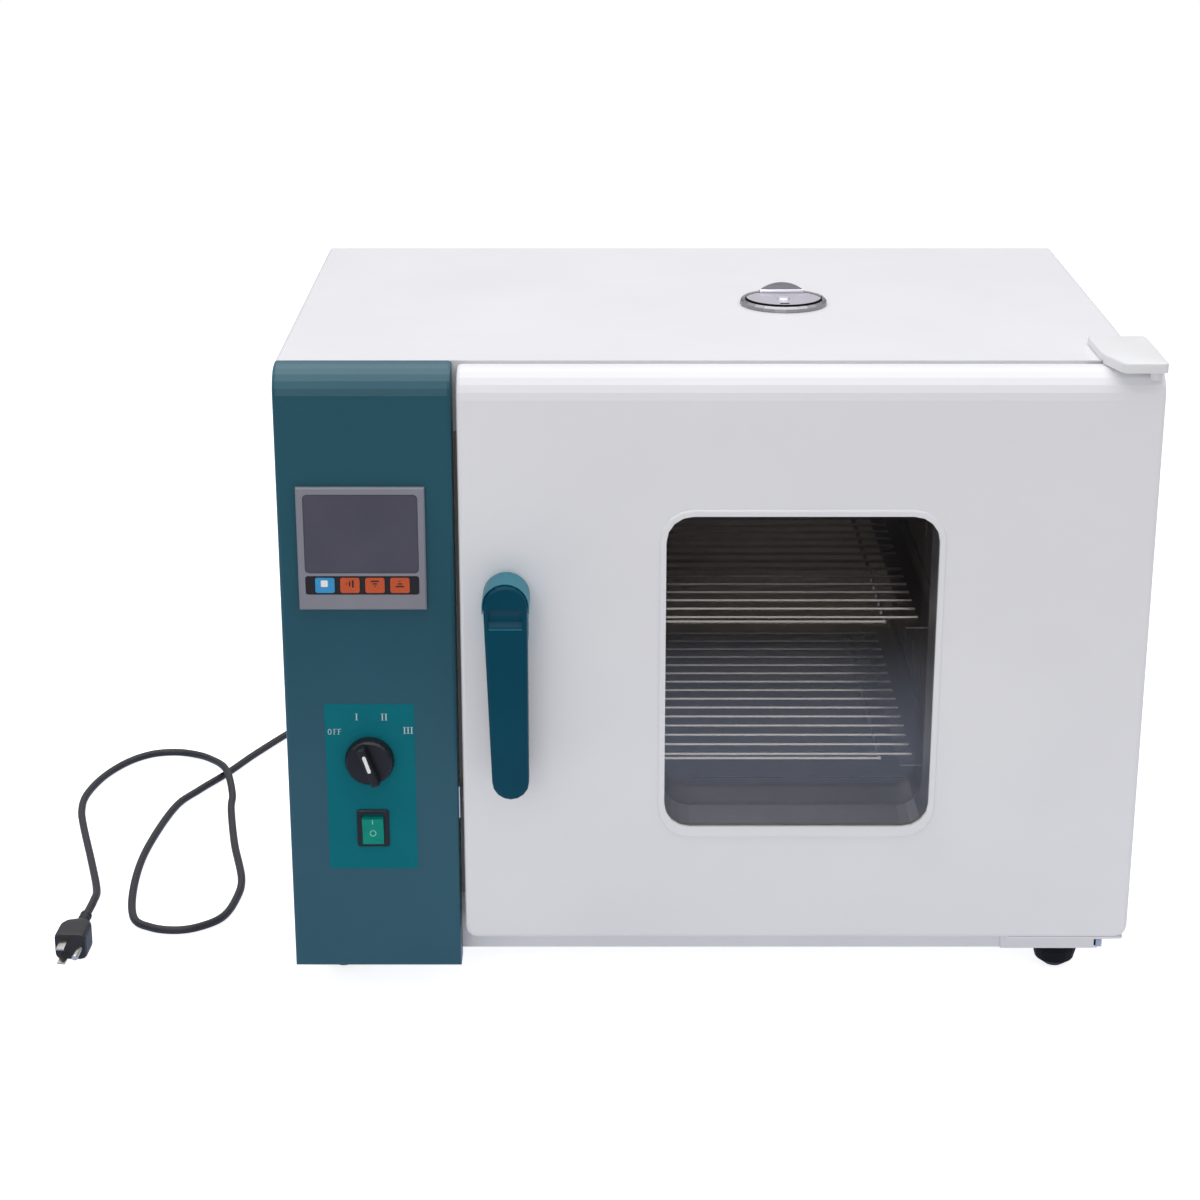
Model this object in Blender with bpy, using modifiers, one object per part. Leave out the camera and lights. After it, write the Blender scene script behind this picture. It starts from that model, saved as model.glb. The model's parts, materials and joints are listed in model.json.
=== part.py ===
# Bench convection drying oven: a sheet-metal cabinet with a control compartment on the left,
# an insulated stainless chamber with a side fan, and a glazed door hung on the right.
# Units are metres, +Z is up, -Y is the front. The origin lies on the bench, at the middle of the
# space that the oven takes without its mains lead.
import math

import bmesh
import bpy
from mathutils import Matrix, Vector

MM = 0.001
GAP = 0.3 * MM  # air left between two pieces that touch
OVERRUN = 2 * MM  # how far a cutter passes the wall it cuts
WELD = 0.5 * MM  # how deep a welded piece enters its neighbour
MERGE = 0.01 * MM  # points closer than this are one point

# Cabinet
BODY_WIDTH = 644 * MM
BODY_DEPTH = 416 * MM
BODY_HEIGHT = 483 * MM
FOOT_HEIGHT = 26 * MM
FOOT_RADIUS = 18 * MM
FOOT_INSET = 33 * MM
FOOT_SETBACK = 26 * MM
FOOT_STUD = 3 * MM
FOOT_STUD_LENGTH = 12 * MM
SHEET = 1.2 * MM
SHELL_BEND = 3 * MM
BACK_RECESS = 3 * MM
BASE_LIP = 12 * MM
FRAME_LAP = 14 * MM
SLIT_COLUMNS = 2
SLIT_ROWS = 5
SLIT_LENGTH = 40 * MM
SLIT_HEIGHT = 4 * MM
SLIT_STEP_X = 50 * MM
SLIT_STEP_Z = 15 * MM
SLIT_INSET = 41 * MM
SLIT_RISE = 300 * MM

# Control panel
PANEL_WIDTH = 131.5 * MM
PANEL_DEPTH = 24 * MM
PANEL_DROP = 4.5 * MM
PANEL_BEND = 21 * MM
PANEL_EDGE = 2.5 * MM

# Controller, fan switch and mains rocker
CONTROLLER_INSET = 62.8 * MM
CONTROLLER_DROP = 138.25 * MM
CONTROLLER_DEPTH = 70 * MM
BEZEL = 96 * MM
BODY_SQUARE = 91 * MM
BEZEL_PROUD = 3.5 * MM
BEZEL_EDGE = 1 * MM
BEZEL_MARGIN = 5.6 * MM
BEZEL_CORNER = 3 * MM
DISPLAY_WIDTH = 85 * MM
DISPLAY_HEIGHT = 61 * MM
DISPLAY_DEPTH = 2 * MM
STRIP_DROP = 28.45 * MM
STRIP_HEIGHT = 14.8 * MM
KEY_WIDTH = 14.6 * MM
KEY_HEIGHT = 12 * MM
KEY_PITCH = 18.8 * MM
KEY_CORNER = 1.5 * MM
KEY_DEPTH = 1.8 * MM
KEY_TRAVEL = 0.4 * MM
KNOB_INSET = 63.85 * MM
KNOB_RISE = 173 * MM
KNOB_RADIUS = 19 * MM
KNOB_LENGTH = 18 * MM
KNOB_GRIP = 7 * MM
KNOB_REST = math.radians(20)
SPINDLE = 3 * MM
SPINDLE_NECK = 4.5 * MM
SPINDLE_REACH = 7 * MM
SWITCH_BODY = 30 * MM
SWITCH_DEPTH = 25 * MM
ROCKER_INSET = 64.95 * MM
ROCKER_RISE = 115.6 * MM
ROCKER_WIDTH = 25 * MM
ROCKER_HEIGHT = 31 * MM
ROCKER_PROUD = 2 * MM
ROCKER_CORNER = 1.5 * MM
ROCKER_BODY_WIDTH = 21.5 * MM
ROCKER_BODY_HEIGHT = 27.5 * MM
ROCKER_DEPTH = 25 * MM
ROCKER_WELL = 16 * MM
ROCKER_KEY = 16.5 * MM
ROCKER_KEY_HEIGHT = 22.5 * MM
ROCKER_AXIS = 6 * MM
ROCKER_SWING = 1 * MM
ROCKER_DISH_SHARE = 0.16
ROCKER_TILT = math.radians(8)
TERMINAL_LENGTH = 60 * MM
TERMINAL_WIDTH = 20 * MM
TERMINAL_HEIGHT = 18 * MM
TERMINAL_SETBACK = 84 * MM
TERMINALS = 6

# Door
DOOR_OVERHANG = 13.5 * MM
DOOR_GAP = 3 * MM
DOOR_THICKNESS = 23 * MM
DOOR_SIDE_GAP = 4 * MM
DOOR_RISE = 21.4 * MM
DOOR_TOP_STEP = 2 * MM
DOOR_BEND = 22 * MM
DOOR_EDGE = 3 * MM
DOOR_CORNER = 9 * MM
INNER_PANEL_RECESS = 5 * MM
INNER_SHEET = 0.8 * MM
PLUG_DEPTH = 22 * MM
PLUG_CLEARANCE = 4 * MM
GASKET_WIDTH = 14 * MM
GASKET_INSET = 8 * MM

# Window
WINDOW_LEFT_MARGIN = 129.6 * MM  # from the chamber's walls, floor and ceiling
WINDOW_RIGHT_MARGIN = 55.7 * MM
WINDOW_SILL = 43.6 * MM
WINDOW_HEAD = 33.7 * MM
WINDOW_CORNER = 20 * MM
RIM_WIDTH = 5 * MM
RIM_DROP = 9 * MM
RIM_PROUD = 1.6 * MM
GLASS = 4 * MM
GLASS_LAP = 9 * MM

# Chamber
LINER_SIDE_WALL = 92.5 * MM
LINER_ROOF = 79 * MM
LINER_REAR = 66 * MM
LINER_SHEET = 1 * MM
LINER_INSET = 30 * MM
LINER_RISE = 74 * MM
LINER_FLANGE = 25 * MM
LINER_CORNER = 0.8 * MM
DUCT_DEPTH = 45 * MM
CHAMBER_SETBACK = 28 * MM
CHAMBER_BACK_GAP = 2 * MM
FLOOR_PLATE_RISE = 18 * MM
FLOOR_COLUMNS = 3
FLOOR_ROWS = 5
FLOOR_MARGIN = 55 * MM
FLOOR_BRIDGE = 20 * MM
FLOOR_STEP = 54 * MM
SLOT_WIDTH = 5 * MM
GRILLE_COLUMNS = 5
GRILLE_ROWS = 3
GRILLE_MARGIN = 29 * MM
GRILLE_BRIDGE = 18 * MM
GRILLE_STEP = 52 * MM

# Shelves
UPPER_SHELF_RISE = 173.5 * MM
LOWER_SHELF_RISE = 57.6 * MM
SHELF_CLEARANCE = 16 * MM
SHELF_SETBACK = 18 * MM
SHELF_PITCH = 20 * MM
SHELF_OVERHANG = 26 * MM
WIRE = 1.5 * MM
CROSS_WIRE = 2 * MM
RAIL_RISE = 12 * MM
RAIL_LEDGE = 26 * MM

# Heater and probe
HEATER_RISE = 11.2 * MM
HEATER_RADIUS = 4 * MM
HEATER_HOLE = 4.6 * MM
HEATER_PITCH = 60 * MM
HEATER_MARGIN = 30 * MM
HEATER_TAIL = 22 * MM
PROBE_SETBACK = 100 * MM
PROBE_DROP = 40 * MM
PROBE_HOLE = 3.3 * MM
PROBE_RADIUS = 2.5 * MM
PROBE_COLLAR = 5 * MM
PROBE_LENGTH = 112 * MM

# Hinges
HINGE_INSET = 7.5 * MM
HINGE_SETBACK = 9 * MM
HINGE_PIN = 3 * MM
HINGE_PLATE = 2 * MM
LOWER_PIN_RISE = 12 * MM
UPPER_PIN_DROP = 18 * MM
LOWER_HINGE_WIDTH = 88 * MM
UPPER_HINGE_WIDTH = 32 * MM
HINGE_ROOT = 30 * MM
HINGE_EDGE = 4 * MM
COVER_INSET = 1.25 * MM
COVER_WIDTH = 51.5 * MM
COVER_LIP = 7.5 * MM
COVER_ROOT = 54 * MM
COVER_HEIGHT = 6 * MM
COVER_WALL = 2.5 * MM
COVER_CHAMFER = 16 * MM
COVER_SOFT = 1.2 * MM
STRIKER = 0.8 * MM
STRIKER_HEIGHT = 26.3 * MM

# Handle
HANDLE_INSET = 35.5 * MM
HANDLE_REACH = 33 * MM
HANDLE_TOP_WIDTH = 33 * MM
HANDLE_END_WIDTH = 28 * MM
HANDLE_RISE = 132.6 * MM
HANDLE_LENGTH = 172 * MM
HANDLE_THICKNESS = 13 * MM
HANDLE_PIVOT = 13.5 * MM
HANDLE_EDGE = 2 * MM
BASE_THICKNESS = 12.6 * MM
BASE_LENGTH = 65 * MM
BARREL = 5.5 * MM
KNUCKLE = 9 * MM
KNUCKLE_WIDTH = 12 * MM
SCOOP_HEIGHT = 15 * MM
SCOOP_DEPTH = 2.5 * MM
SCOOP_MARGIN = 4 * MM
SCOOP_DROP = 26.5 * MM
LATCH_RISE = 114.6 * MM
LATCH_RADIUS = 4 * MM
LATCH_LENGTH = 40 * MM
LATCH_PROUD = 2.55 * MM
LATCH_ROOM = 53 * MM

# Vent
VENT_INSET = 254 * MM
VENT_SETBACK = 190 * MM
VENT_RADIUS = 35 * MM
VENT_HEIGHT = 4.5 * MM
VENT_BORE = 24 * MM
VENT_WALL = 1.5 * MM
VENT_RECESS = 31.5 * MM
VENT_BAR = 2 * MM
VENT_SHEET = 1 * MM
VENT_STUD = 2 * MM
VENT_FOLD = 25.1 * MM
VENT_SLOT = 7.8 * MM
VENT_SLOT_WIDTH = 1.5 * MM
VENT_SLOT_SETBACK = 5 * MM

# Fan
FAN_RADIUS = 72 * MM
FAN_INNER = 52 * MM
FAN_SHAFT = 4 * MM
FAN_CLEARANCE = 6 * MM
FAN_DISC = 1.5 * MM
FAN_WIDTH = 24 * MM
FAN_HUB = 9 * MM
FAN_HUB_LENGTH = 14 * MM
FAN_BLADE = 1.6 * MM
FAN_RING = 18 * MM
BLADES = 12
BLADE_SWEEP_SHARE = 0.1
SHAFT_HOLE = 6 * MM
SHAFT_IN_MOTOR = 25 * MM
MOTOR_RADIUS = 36 * MM
MOTOR_LENGTH = 62 * MM
MOTOR_CORE = 78 * MM

# Mains lead
LEAD_RADIUS = 3.4 * MM
LEAD_STEP_SHARE = 2.95  # length of one straight of the lead, in diameters
GLAND_INSET = 66.75 * MM
GLAND_RISE = 34 * MM
GLAND_FLANGE = 8.5 * MM
GLAND_NECK = 5.7 * MM
GLAND_LENGTH = 33 * MM
PLUG_LENGTH = 58 * MM
PLUG_WIDTH = 26 * MM
PLUG_HEIGHT = 23 * MM
PLUG_RIB = 3.2 * MM
PIN_LENGTH = 17 * MM
PIN_BLADE = 6.3 * MM
PIN_SHEET = 1.5 * MM
PIN_GROUND = 2.4 * MM
BLADE_PITCH = 12.7 * MM
BLADE_OFFSET = 4 * MM
GROUND_OFFSET = 8 * MM
# Hand-laid route of the lead from the strain relief to the plug
LEAD_ROUTE = [
    (-262, 268.1, 60), (-262, 288, 59), (-262.5, 310, 47), (-265, 328, 24), (-271, 346, 8.5),
    (-285, 366, 3.8), (-310, 381, 3.7), (-341, 383, 3.7), (-370, 368, 3.7), (-392, 337, 3.7),
    (-422.5, 276, 3.7), (-443, 229, 3.7), (-464, 188.5, 3.7), (-481, 147, 3.7), (-491.6, 55, 3.7),
    (-490, -20, 3.7), (-480, -80, 3.7), (-462, -99, 3.7), (-440, -104, 3.7), (-421, -97, 3.7),
    (-405, -79, 3.7), (-398.5, -46, 3.7), (-399, -5, 3.7), (-415, 68, 3.7), (-428, 142, 4.4),
    (-431, 173, 7), (-443, 219, 11.5), (-464, 257, 6.6), (-485, 276, 3.9), (-505, 280, 3.7),
    (-525, 274, 3.7), (-544, 254, 3.7), (-560, 219, 3.7), (-568, 177, 3.7), (-566, 142, 3.7),
    (-557, 104, 3.7), (-536, 30, 3.7), (-520, -31, 6), (-516.4, -62, 10.6), (-517, -92, 11.8),
]

# Main planes, worked out from the sizes above
LEFT = -(BODY_WIDTH + DOOR_OVERHANG) / 2
RIGHT = LEFT + BODY_WIDTH
FRONT = (HANDLE_REACH + DOOR_THICKNESS + DOOR_GAP - BODY_DEPTH) / 2
BACK = FRONT + BODY_DEPTH
BOTTOM = FOOT_HEIGHT
TOP = BOTTOM + BODY_HEIGHT
PANEL_RIGHT = LEFT + PANEL_WIDTH
PANEL_FRONT = FRONT - PANEL_DEPTH
BACK_PANEL = BACK - BACK_RECESS - SHEET
DOOR_LEFT = PANEL_RIGHT + DOOR_SIDE_GAP
DOOR_RIGHT = RIGHT + DOOR_OVERHANG
DOOR_BACK = FRONT - DOOR_GAP
DOOR_FRONT = DOOR_BACK - DOOR_THICKNESS
DOOR_BOTTOM = BOTTOM + DOOR_RISE
DOOR_TOP = TOP - DOOR_TOP_STEP
HINGE_X = DOOR_RIGHT - HINGE_INSET
HINGE_Y = DOOR_FRONT + HINGE_SETBACK
LINER_LEFT = PANEL_RIGHT + LINER_INSET
LINER_RIGHT = RIGHT - LINER_SIDE_WALL
LINER_FLOOR = BOTTOM + LINER_RISE
LINER_CEILING = TOP - LINER_ROOF
LINER_BACK = BACK - LINER_REAR
LINER_WIDTH = LINER_RIGHT - LINER_LEFT
LINER_HEIGHT = LINER_CEILING - LINER_FLOOR
LINER_MIDDLE = (LINER_LEFT + LINER_RIGHT) / 2
LINER_CENTRE = (LINER_FLOOR + LINER_CEILING) / 2
WORK_LEFT = LINER_LEFT + DUCT_DEPTH
WORK_RIGHT = LINER_RIGHT - DUCT_DEPTH
WORK_FRONT = FRONT + CHAMBER_SETBACK
WORK_BACK = LINER_BACK - CHAMBER_BACK_GAP
WORK_FLOOR = LINER_FLOOR + FLOOR_PLATE_RISE
WINDOW_WIDTH = LINER_WIDTH - WINDOW_LEFT_MARGIN - WINDOW_RIGHT_MARGIN
WINDOW_HEIGHT = LINER_HEIGHT - WINDOW_SILL - WINDOW_HEAD
WINDOW_X = LINER_LEFT + WINDOW_LEFT_MARGIN + WINDOW_WIDTH / 2
WINDOW_Z = LINER_FLOOR + WINDOW_SILL + WINDOW_HEIGHT / 2
HANDLE_X = DOOR_LEFT + HANDLE_INSET
HANDLE_FRONT = DOOR_FRONT - HANDLE_REACH
HANDLE_BOTTOM = DOOR_BOTTOM + HANDLE_RISE
HANDLE_TOP = HANDLE_BOTTOM + HANDLE_LENGTH
PIVOT_Y = HANDLE_FRONT + HANDLE_PIVOT
PIVOT_Z = HANDLE_TOP - HANDLE_PIVOT
VENT_X = RIGHT - VENT_INSET
VENT_Y = FRONT + VENT_SETBACK
FAN_Y = (WORK_FRONT + WORK_BACK) / 2
FAN_Z = (WORK_FLOOR + LINER_CEILING) / 2
SHELF_X = (WORK_LEFT + WORK_RIGHT) / 2
SHELF_WIDTH = WORK_RIGHT - WORK_LEFT - 2 * SHELF_CLEARANCE
SHELF_WIRES = int((WORK_BACK - WORK_FRONT - 2 * SHELF_SETBACK) / SHELF_PITCH) + 1
HEATER_Z = LINER_FLOOR + HEATER_RISE
PROBE_Y = FAN_Y + PROBE_SETBACK
PROBE_Z = LINER_CEILING - PROBE_DROP
LATCH_Y = (DOOR_FRONT + DOOR_BACK) / 2
LATCH_Z = DOOR_BOTTOM + LATCH_RISE
CONTROLLER_X = LEFT + CONTROLLER_INSET
CONTROLLER_Z = TOP - CONTROLLER_DROP
KEY_Z = CONTROLLER_Z - STRIP_DROP
KNOB_X = LEFT + KNOB_INSET
KNOB_Z = BOTTOM + KNOB_RISE
ROCKER_X = LEFT + ROCKER_INSET
ROCKER_Z = BOTTOM + ROCKER_RISE
GLAND_X = LEFT + GLAND_INSET
GLAND_Z = BOTTOM + GLAND_RISE
TERMINAL_X = GLAND_X
TERMINAL_Y = BACK_PANEL - TERMINAL_SETBACK

for item in list(bpy.data.objects):
    bpy.data.objects.remove(item, do_unlink=True)
parts = bpy.data.collections.new("convection_drying_oven")
cutters = bpy.data.collections.new("cutters")
for folder in (parts, cutters):
    bpy.context.scene.collection.children.link(folder)


def finish(name, colour, roughness, metallic=0.0, clear=0.0):
    """A plain surface finish from an sRGB colour: paint, plastic, metal or glass."""
    surface = bpy.data.materials.new(name)
    surface.use_nodes = True
    shader = surface.node_tree.nodes["Principled BSDF"]
    levels = [int(colour[index:index + 2], 16) / 255 for index in (0, 2, 4)]
    linear = [level / 12.92 if level < 0.04045 else ((level + 0.055) / 1.055) ** 2.4 for level in levels]
    shader.inputs["Base Color"].default_value = (*linear, 1.0)
    shader.inputs["Roughness"].default_value = roughness
    shader.inputs["Metallic"].default_value = metallic
    shader.inputs["Transmission Weight"].default_value = clear
    return surface


WHITE_PAINT = finish("white_paint", "E4E4E8", 0.45)
TEAL_PAINT = finish("teal_paint", "2A5560", 0.4)
BLACK_PAINT = finish("black_paint", "17181A", 0.5)
GALVANISED = finish("galvanised_steel", "A8ABAE", 0.4, 1)
STAINLESS = finish("stainless_steel", "C8C8C8", 0.3, 1)
DARK_STEEL = finish("oxidised_steel", "4A4642", 0.45, 1)
ALUMINIUM = finish("aluminium", "D5D6D8", 0.35, 1)
CHROME = finish("chrome", "D8D8DA", 0.15, 1)
ZINC = finish("zinc_plate", "B9BCC0", 0.35, 1)
WOOL = finish("mineral_wool", "D9D2C0", 0.95)
BLACK_RUBBER = finish("black_rubber", "1C1C1E", 0.8)
BLACK_PVC = finish("black_pvc", "1E1D22", 0.5)
GREY_SILICONE = finish("grey_silicone", "8A8A90", 0.7)
WHITE_PLASTIC = finish("white_plastic", "E8E8EC", 0.4)
BLACK_PLASTIC = finish("black_plastic", "26252B", 0.4)
GREY_PLASTIC = finish("grey_plastic", "7F7F8A", 0.4)
TEAL_PLASTIC = finish("teal_plastic", "0F4E63", 0.35)
GREEN_PLASTIC = finish("green_plastic", "14916F", 0.3)
BLUE_KEY = finish("blue_key", "2F9BD6", 0.4)
ORANGE_KEY = finish("orange_key", "CF5524", 0.4)
SMOKED_WINDOW = finish("smoked_window", "4B4957", 0.1)
CLEAR_GLASS = finish("clear_glass", "F2F6F6", 0.02, 0, 1)


def place(name, shape, surface, origin=None, folder=None):
    """Turn a mesh shape in world place into a named object, with its origin on its joint if it has one."""
    mesh = bpy.data.meshes.new(name)
    if origin is not None:
        bmesh.ops.translate(shape, vec=-Vector(origin), verts=shape.verts)
    shape.to_mesh(mesh)
    shape.free()
    piece = bpy.data.objects.new(name, mesh)
    (folder or parts).objects.link(piece)
    if origin is not None:
        piece.location = origin
    if surface:
        mesh.materials.append(surface)
        mesh.shade_smooth()
        mesh.set_sharp_from_angle(angle=math.radians(30))
    return piece


def boolean(piece, shape, operation):
    """Cut a shape from a piece, or weld it on."""
    tool = place(piece.name + "_tool", shape, None, folder=cutters)
    tool.hide_render = True
    tool.display_type = "WIRE"
    modifier = piece.modifiers.new(operation.title(), "BOOLEAN")
    modifier.operation = operation
    modifier.object = tool


def cut(piece, *shapes):
    for shape in shapes:
        boolean(piece, shape, "DIFFERENCE")


def weld(piece, *shapes):
    for shape in shapes:
        boolean(piece, shape, "UNION")


def sheet(piece, thickness, offset=-1):
    """Give an open surface its sheet thickness, inwards unless offset says otherwise."""
    modifier = piece.modifiers.new("Sheet", "SOLIDIFY")
    modifier.thickness = thickness
    modifier.offset = offset
    modifier.use_even_offset = True


def carry(pivot, *pieces):
    """Hang pieces on the empty that marks their joint."""
    for piece in pieces:
        piece.parent = pivot
        piece.matrix_parent_inverse = Matrix.Translation(-pivot.location)


def pivot(name, place_of_axis):
    marker = bpy.data.objects.new(name, None)
    marker.location = place_of_axis
    parts.objects.link(marker)
    return marker


def block(x, y, z):
    """A box between two values on each axis."""
    shape = bmesh.new()
    low, high = (Vector(corner) for corner in zip(x, y, z))
    bmesh.ops.create_cube(shape, size=1)
    bmesh.ops.scale(shape, vec=high - low, verts=shape.verts)
    bmesh.ops.translate(shape, vec=(low + high) / 2, verts=shape.verts)
    return shape


def rod(start, axis, length, radius, end_radius=None, sides=24):
    """A round bar or a cone that runs from start along +X, +Y or +Z."""
    shape = bmesh.new()
    tip = radius if end_radius is None else end_radius
    bmesh.ops.create_cone(shape, cap_ends=True, segments=sides, radius1=radius, radius2=tip, depth=length)
    bmesh.ops.translate(shape, vec=Vector((0, 0, length / 2)), verts=shape.verts)
    turns = {"X": Matrix.Rotation(math.pi / 2, 3, "Y"), "Y": Matrix.Rotation(-math.pi / 2, 3, "X")}
    if axis in turns:
        bmesh.ops.rotate(shape, matrix=turns[axis], verts=shape.verts)
    bmesh.ops.translate(shape, vec=Vector(start), verts=shape.verts)
    return shape


def together(shapes):
    """Several loose shapes as one, for a single cut or weld."""
    whole = bmesh.new()
    for shape in shapes:
        mesh = bpy.data.meshes.new("shape")
        shape.to_mesh(mesh)
        shape.free()
        whole.from_mesh(mesh)
        bpy.data.meshes.remove(mesh)
    return whole


def rounded(shape, radius, segments, axis=None, where=None):
    """Round the edges that run along an axis, or whose middle passes a test."""
    chosen = []
    for edge in shape.edges:
        run = (edge.verts[1].co - edge.verts[0].co).normalized()
        along = axis is None or abs(run["XYZ".index(axis)]) > 0.999
        if along and (where is None or where((edge.verts[0].co + edge.verts[1].co) / 2)):
            chosen.append(edge)
    bmesh.ops.bevel(shape, geom=chosen, offset=radius, segments=segments, profile=0.5, affect="EDGES")
    return shape


def ring(shape, centre, width, height, radius, steps):
    """Add the points of a rounded rectangle that faces -Y, round a centre."""
    corners = ((1, 1), (-1, 1), (-1, -1), (1, -1))
    verts = []
    for turn, (side, rise) in enumerate(corners):
        for step in range(steps + 1):
            angle = (turn + step / steps) * math.pi / 2
            across = side * (width / 2 - radius) + radius * math.cos(angle)
            up = rise * (height / 2 - radius) + radius * math.sin(angle)
            verts.append(shape.verts.new(centre + Vector((across, 0, up))))
    return verts


def loft(sections, steps=3, caps=(True, True)):
    """Bridge rounded rectangles (centre, width, height, corner radius), with or without end caps."""
    shape = bmesh.new()
    rings = [ring(shape, Vector(centre), *sizes, steps) for centre, *sizes in sections]
    for near, far in zip(rings, rings[1:]):
        for index, point in enumerate(near):
            shape.faces.new((point, near[index - 1], far[index - 1], far[index]))
    for wanted, points in zip(caps, (rings[0], rings[-1])):
        if wanted:
            shape.faces.new(points)
    bmesh.ops.recalc_face_normals(shape, faces=shape.faces)
    return shape


def prism(x, y, z, width, height, radius, length, steps=3):
    """A rounded bar along +Y, round the line through x and z."""
    return loft([((x, y, z), width, height, radius), ((x, y + length, z), width, height, radius)], steps)


def folded(corners, start, length, axis, bend, segments=2):
    """A strip folded through corners, run along an axis: an open surface for a sheet."""
    shape = bmesh.new()
    run = Vector([length if name == axis else 0 for name in "XYZ"])
    spots = []
    for corner in corners:
        spot = list(corner)
        spot.insert("XYZ".index(axis), start)
        spots.append(shape.verts.new(spot))
    edges = [shape.edges.new(pair) for pair in zip(spots, spots[1:])]
    swept = bmesh.ops.extrude_edge_only(shape, edges=edges)["geom"]
    moved = [item for item in swept if isinstance(item, bmesh.types.BMVert)]
    bmesh.ops.translate(shape, vec=run, verts=moved)
    folds = [edge for edge in shape.edges if len(edge.link_faces) == 2]
    bmesh.ops.bevel(shape, geom=folds, offset=bend, segments=segments, profile=0.5, affect="EDGES")
    return shape


def tray(x, y, z, bend, corner, edge):
    """A pressed front, open at the back, with a rolled top edge and rounded lower corners."""
    shape = block(x, y, z)
    back = [face for face in shape.faces if face.normal.y > 0.5]
    bmesh.ops.delete(shape, geom=back, context="FACES_ONLY")
    front, bottom, top = y[0], z[0], z[1]
    near = (y[1] - y[0]) / 2
    rounded(shape, bend, 6, "X", lambda spot: spot.y < front + near and spot.z > top - near)
    if corner:
        rounded(shape, corner, 3, "Y", lambda spot: spot.z < bottom + near)
    shape.normal_update()

    def is_side(face):
        return abs(face.normal.x) > 0.01 or face.normal.z < -0.01

    rims = [seam for seam in shape.edges if len(seam.link_faces) == 2
            and is_side(seam.link_faces[0]) != is_side(seam.link_faces[1])]
    bmesh.ops.bevel(shape, geom=rims, offset=edge, segments=2, profile=0.5, affect="EDGES")
    return shape


def turned(name, profile, surface, centre, axis="Z", sides=24):
    """Spin a profile of (radius, height) points, listed down its outer side, round an axis."""
    mesh = bpy.data.meshes.new(name)
    mesh.from_pydata([(radius, 0, height) for radius, height in profile], [], [])
    shape = bmesh.new()
    shape.from_mesh(mesh)
    shape.verts.ensure_lookup_table()
    for near, far in zip(shape.verts, list(shape.verts)[1:]):
        shape.edges.new((near, far))
    if profile[0][0] and profile[-1][0]:
        shape.edges.new((shape.verts[-1], shape.verts[0]))
    shape.to_mesh(mesh)
    shape.free()
    piece = bpy.data.objects.new(name, mesh)
    parts.objects.link(piece)
    piece.location = centre
    piece.rotation_euler = {"X": (0, math.pi / 2, 0), "Y": (-math.pi / 2, 0, 0), "Z": (0, 0, 0)}[axis]
    screw = piece.modifiers.new("Turn", "SCREW")
    screw.steps = screw.render_steps = sides
    screw.use_merge_vertices = True
    screw.merge_threshold = MERGE
    screw.use_smooth_shade = True
    mesh.materials.append(surface)
    return piece


def tube(name, points, radius, surface, sides_level=2):
    """A tube of one radius along points."""
    curve = bpy.data.curves.new(name, "CURVE")
    curve.dimensions = "3D"
    curve.bevel_depth = radius
    curve.bevel_resolution = sides_level
    curve.use_fill_caps = True
    line = curve.splines.new("POLY")
    line.points.add(len(points) - 1)
    for spot, point in zip(line.points, points):
        spot.co = (*point, 1)
    piece = bpy.data.objects.new(name, curve)
    parts.objects.link(piece)
    curve.materials.append(surface)
    return piece


def smooth_run(points, step):
    """Points at an even step along a smooth curve through the given ones."""
    dense = []
    padded = [2 * points[0] - points[1], *points, 2 * points[-1] - points[-2]]
    for before, start, end, after in zip(padded, padded[1:], padded[2:], padded[3:]):
        for index in range(24):
            t = index / 24
            dense.append(0.5 * (2 * start + (end - before) * t
                                + (2 * before - 5 * start + 4 * end - after) * t * t
                                + (3 * start - before - 3 * end + after) * t * t * t))
    dense.append(points[-1])
    lengths = [0]
    for near, far in zip(dense, dense[1:]):
        lengths.append(lengths[-1] + (far - near).length)
    count = max(2, round(lengths[-1] / step))
    run = []
    place_in = 0
    for index in range(count + 1):
        target = lengths[-1] * index / count
        while place_in < len(dense) - 2 and lengths[place_in + 1] < target:
            place_in += 1
        share = (target - lengths[place_in]) / (lengths[place_in + 1] - lengths[place_in])
        run.append(dense[place_in].lerp(dense[place_in + 1], share))
    return run, lengths[-1]


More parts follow.
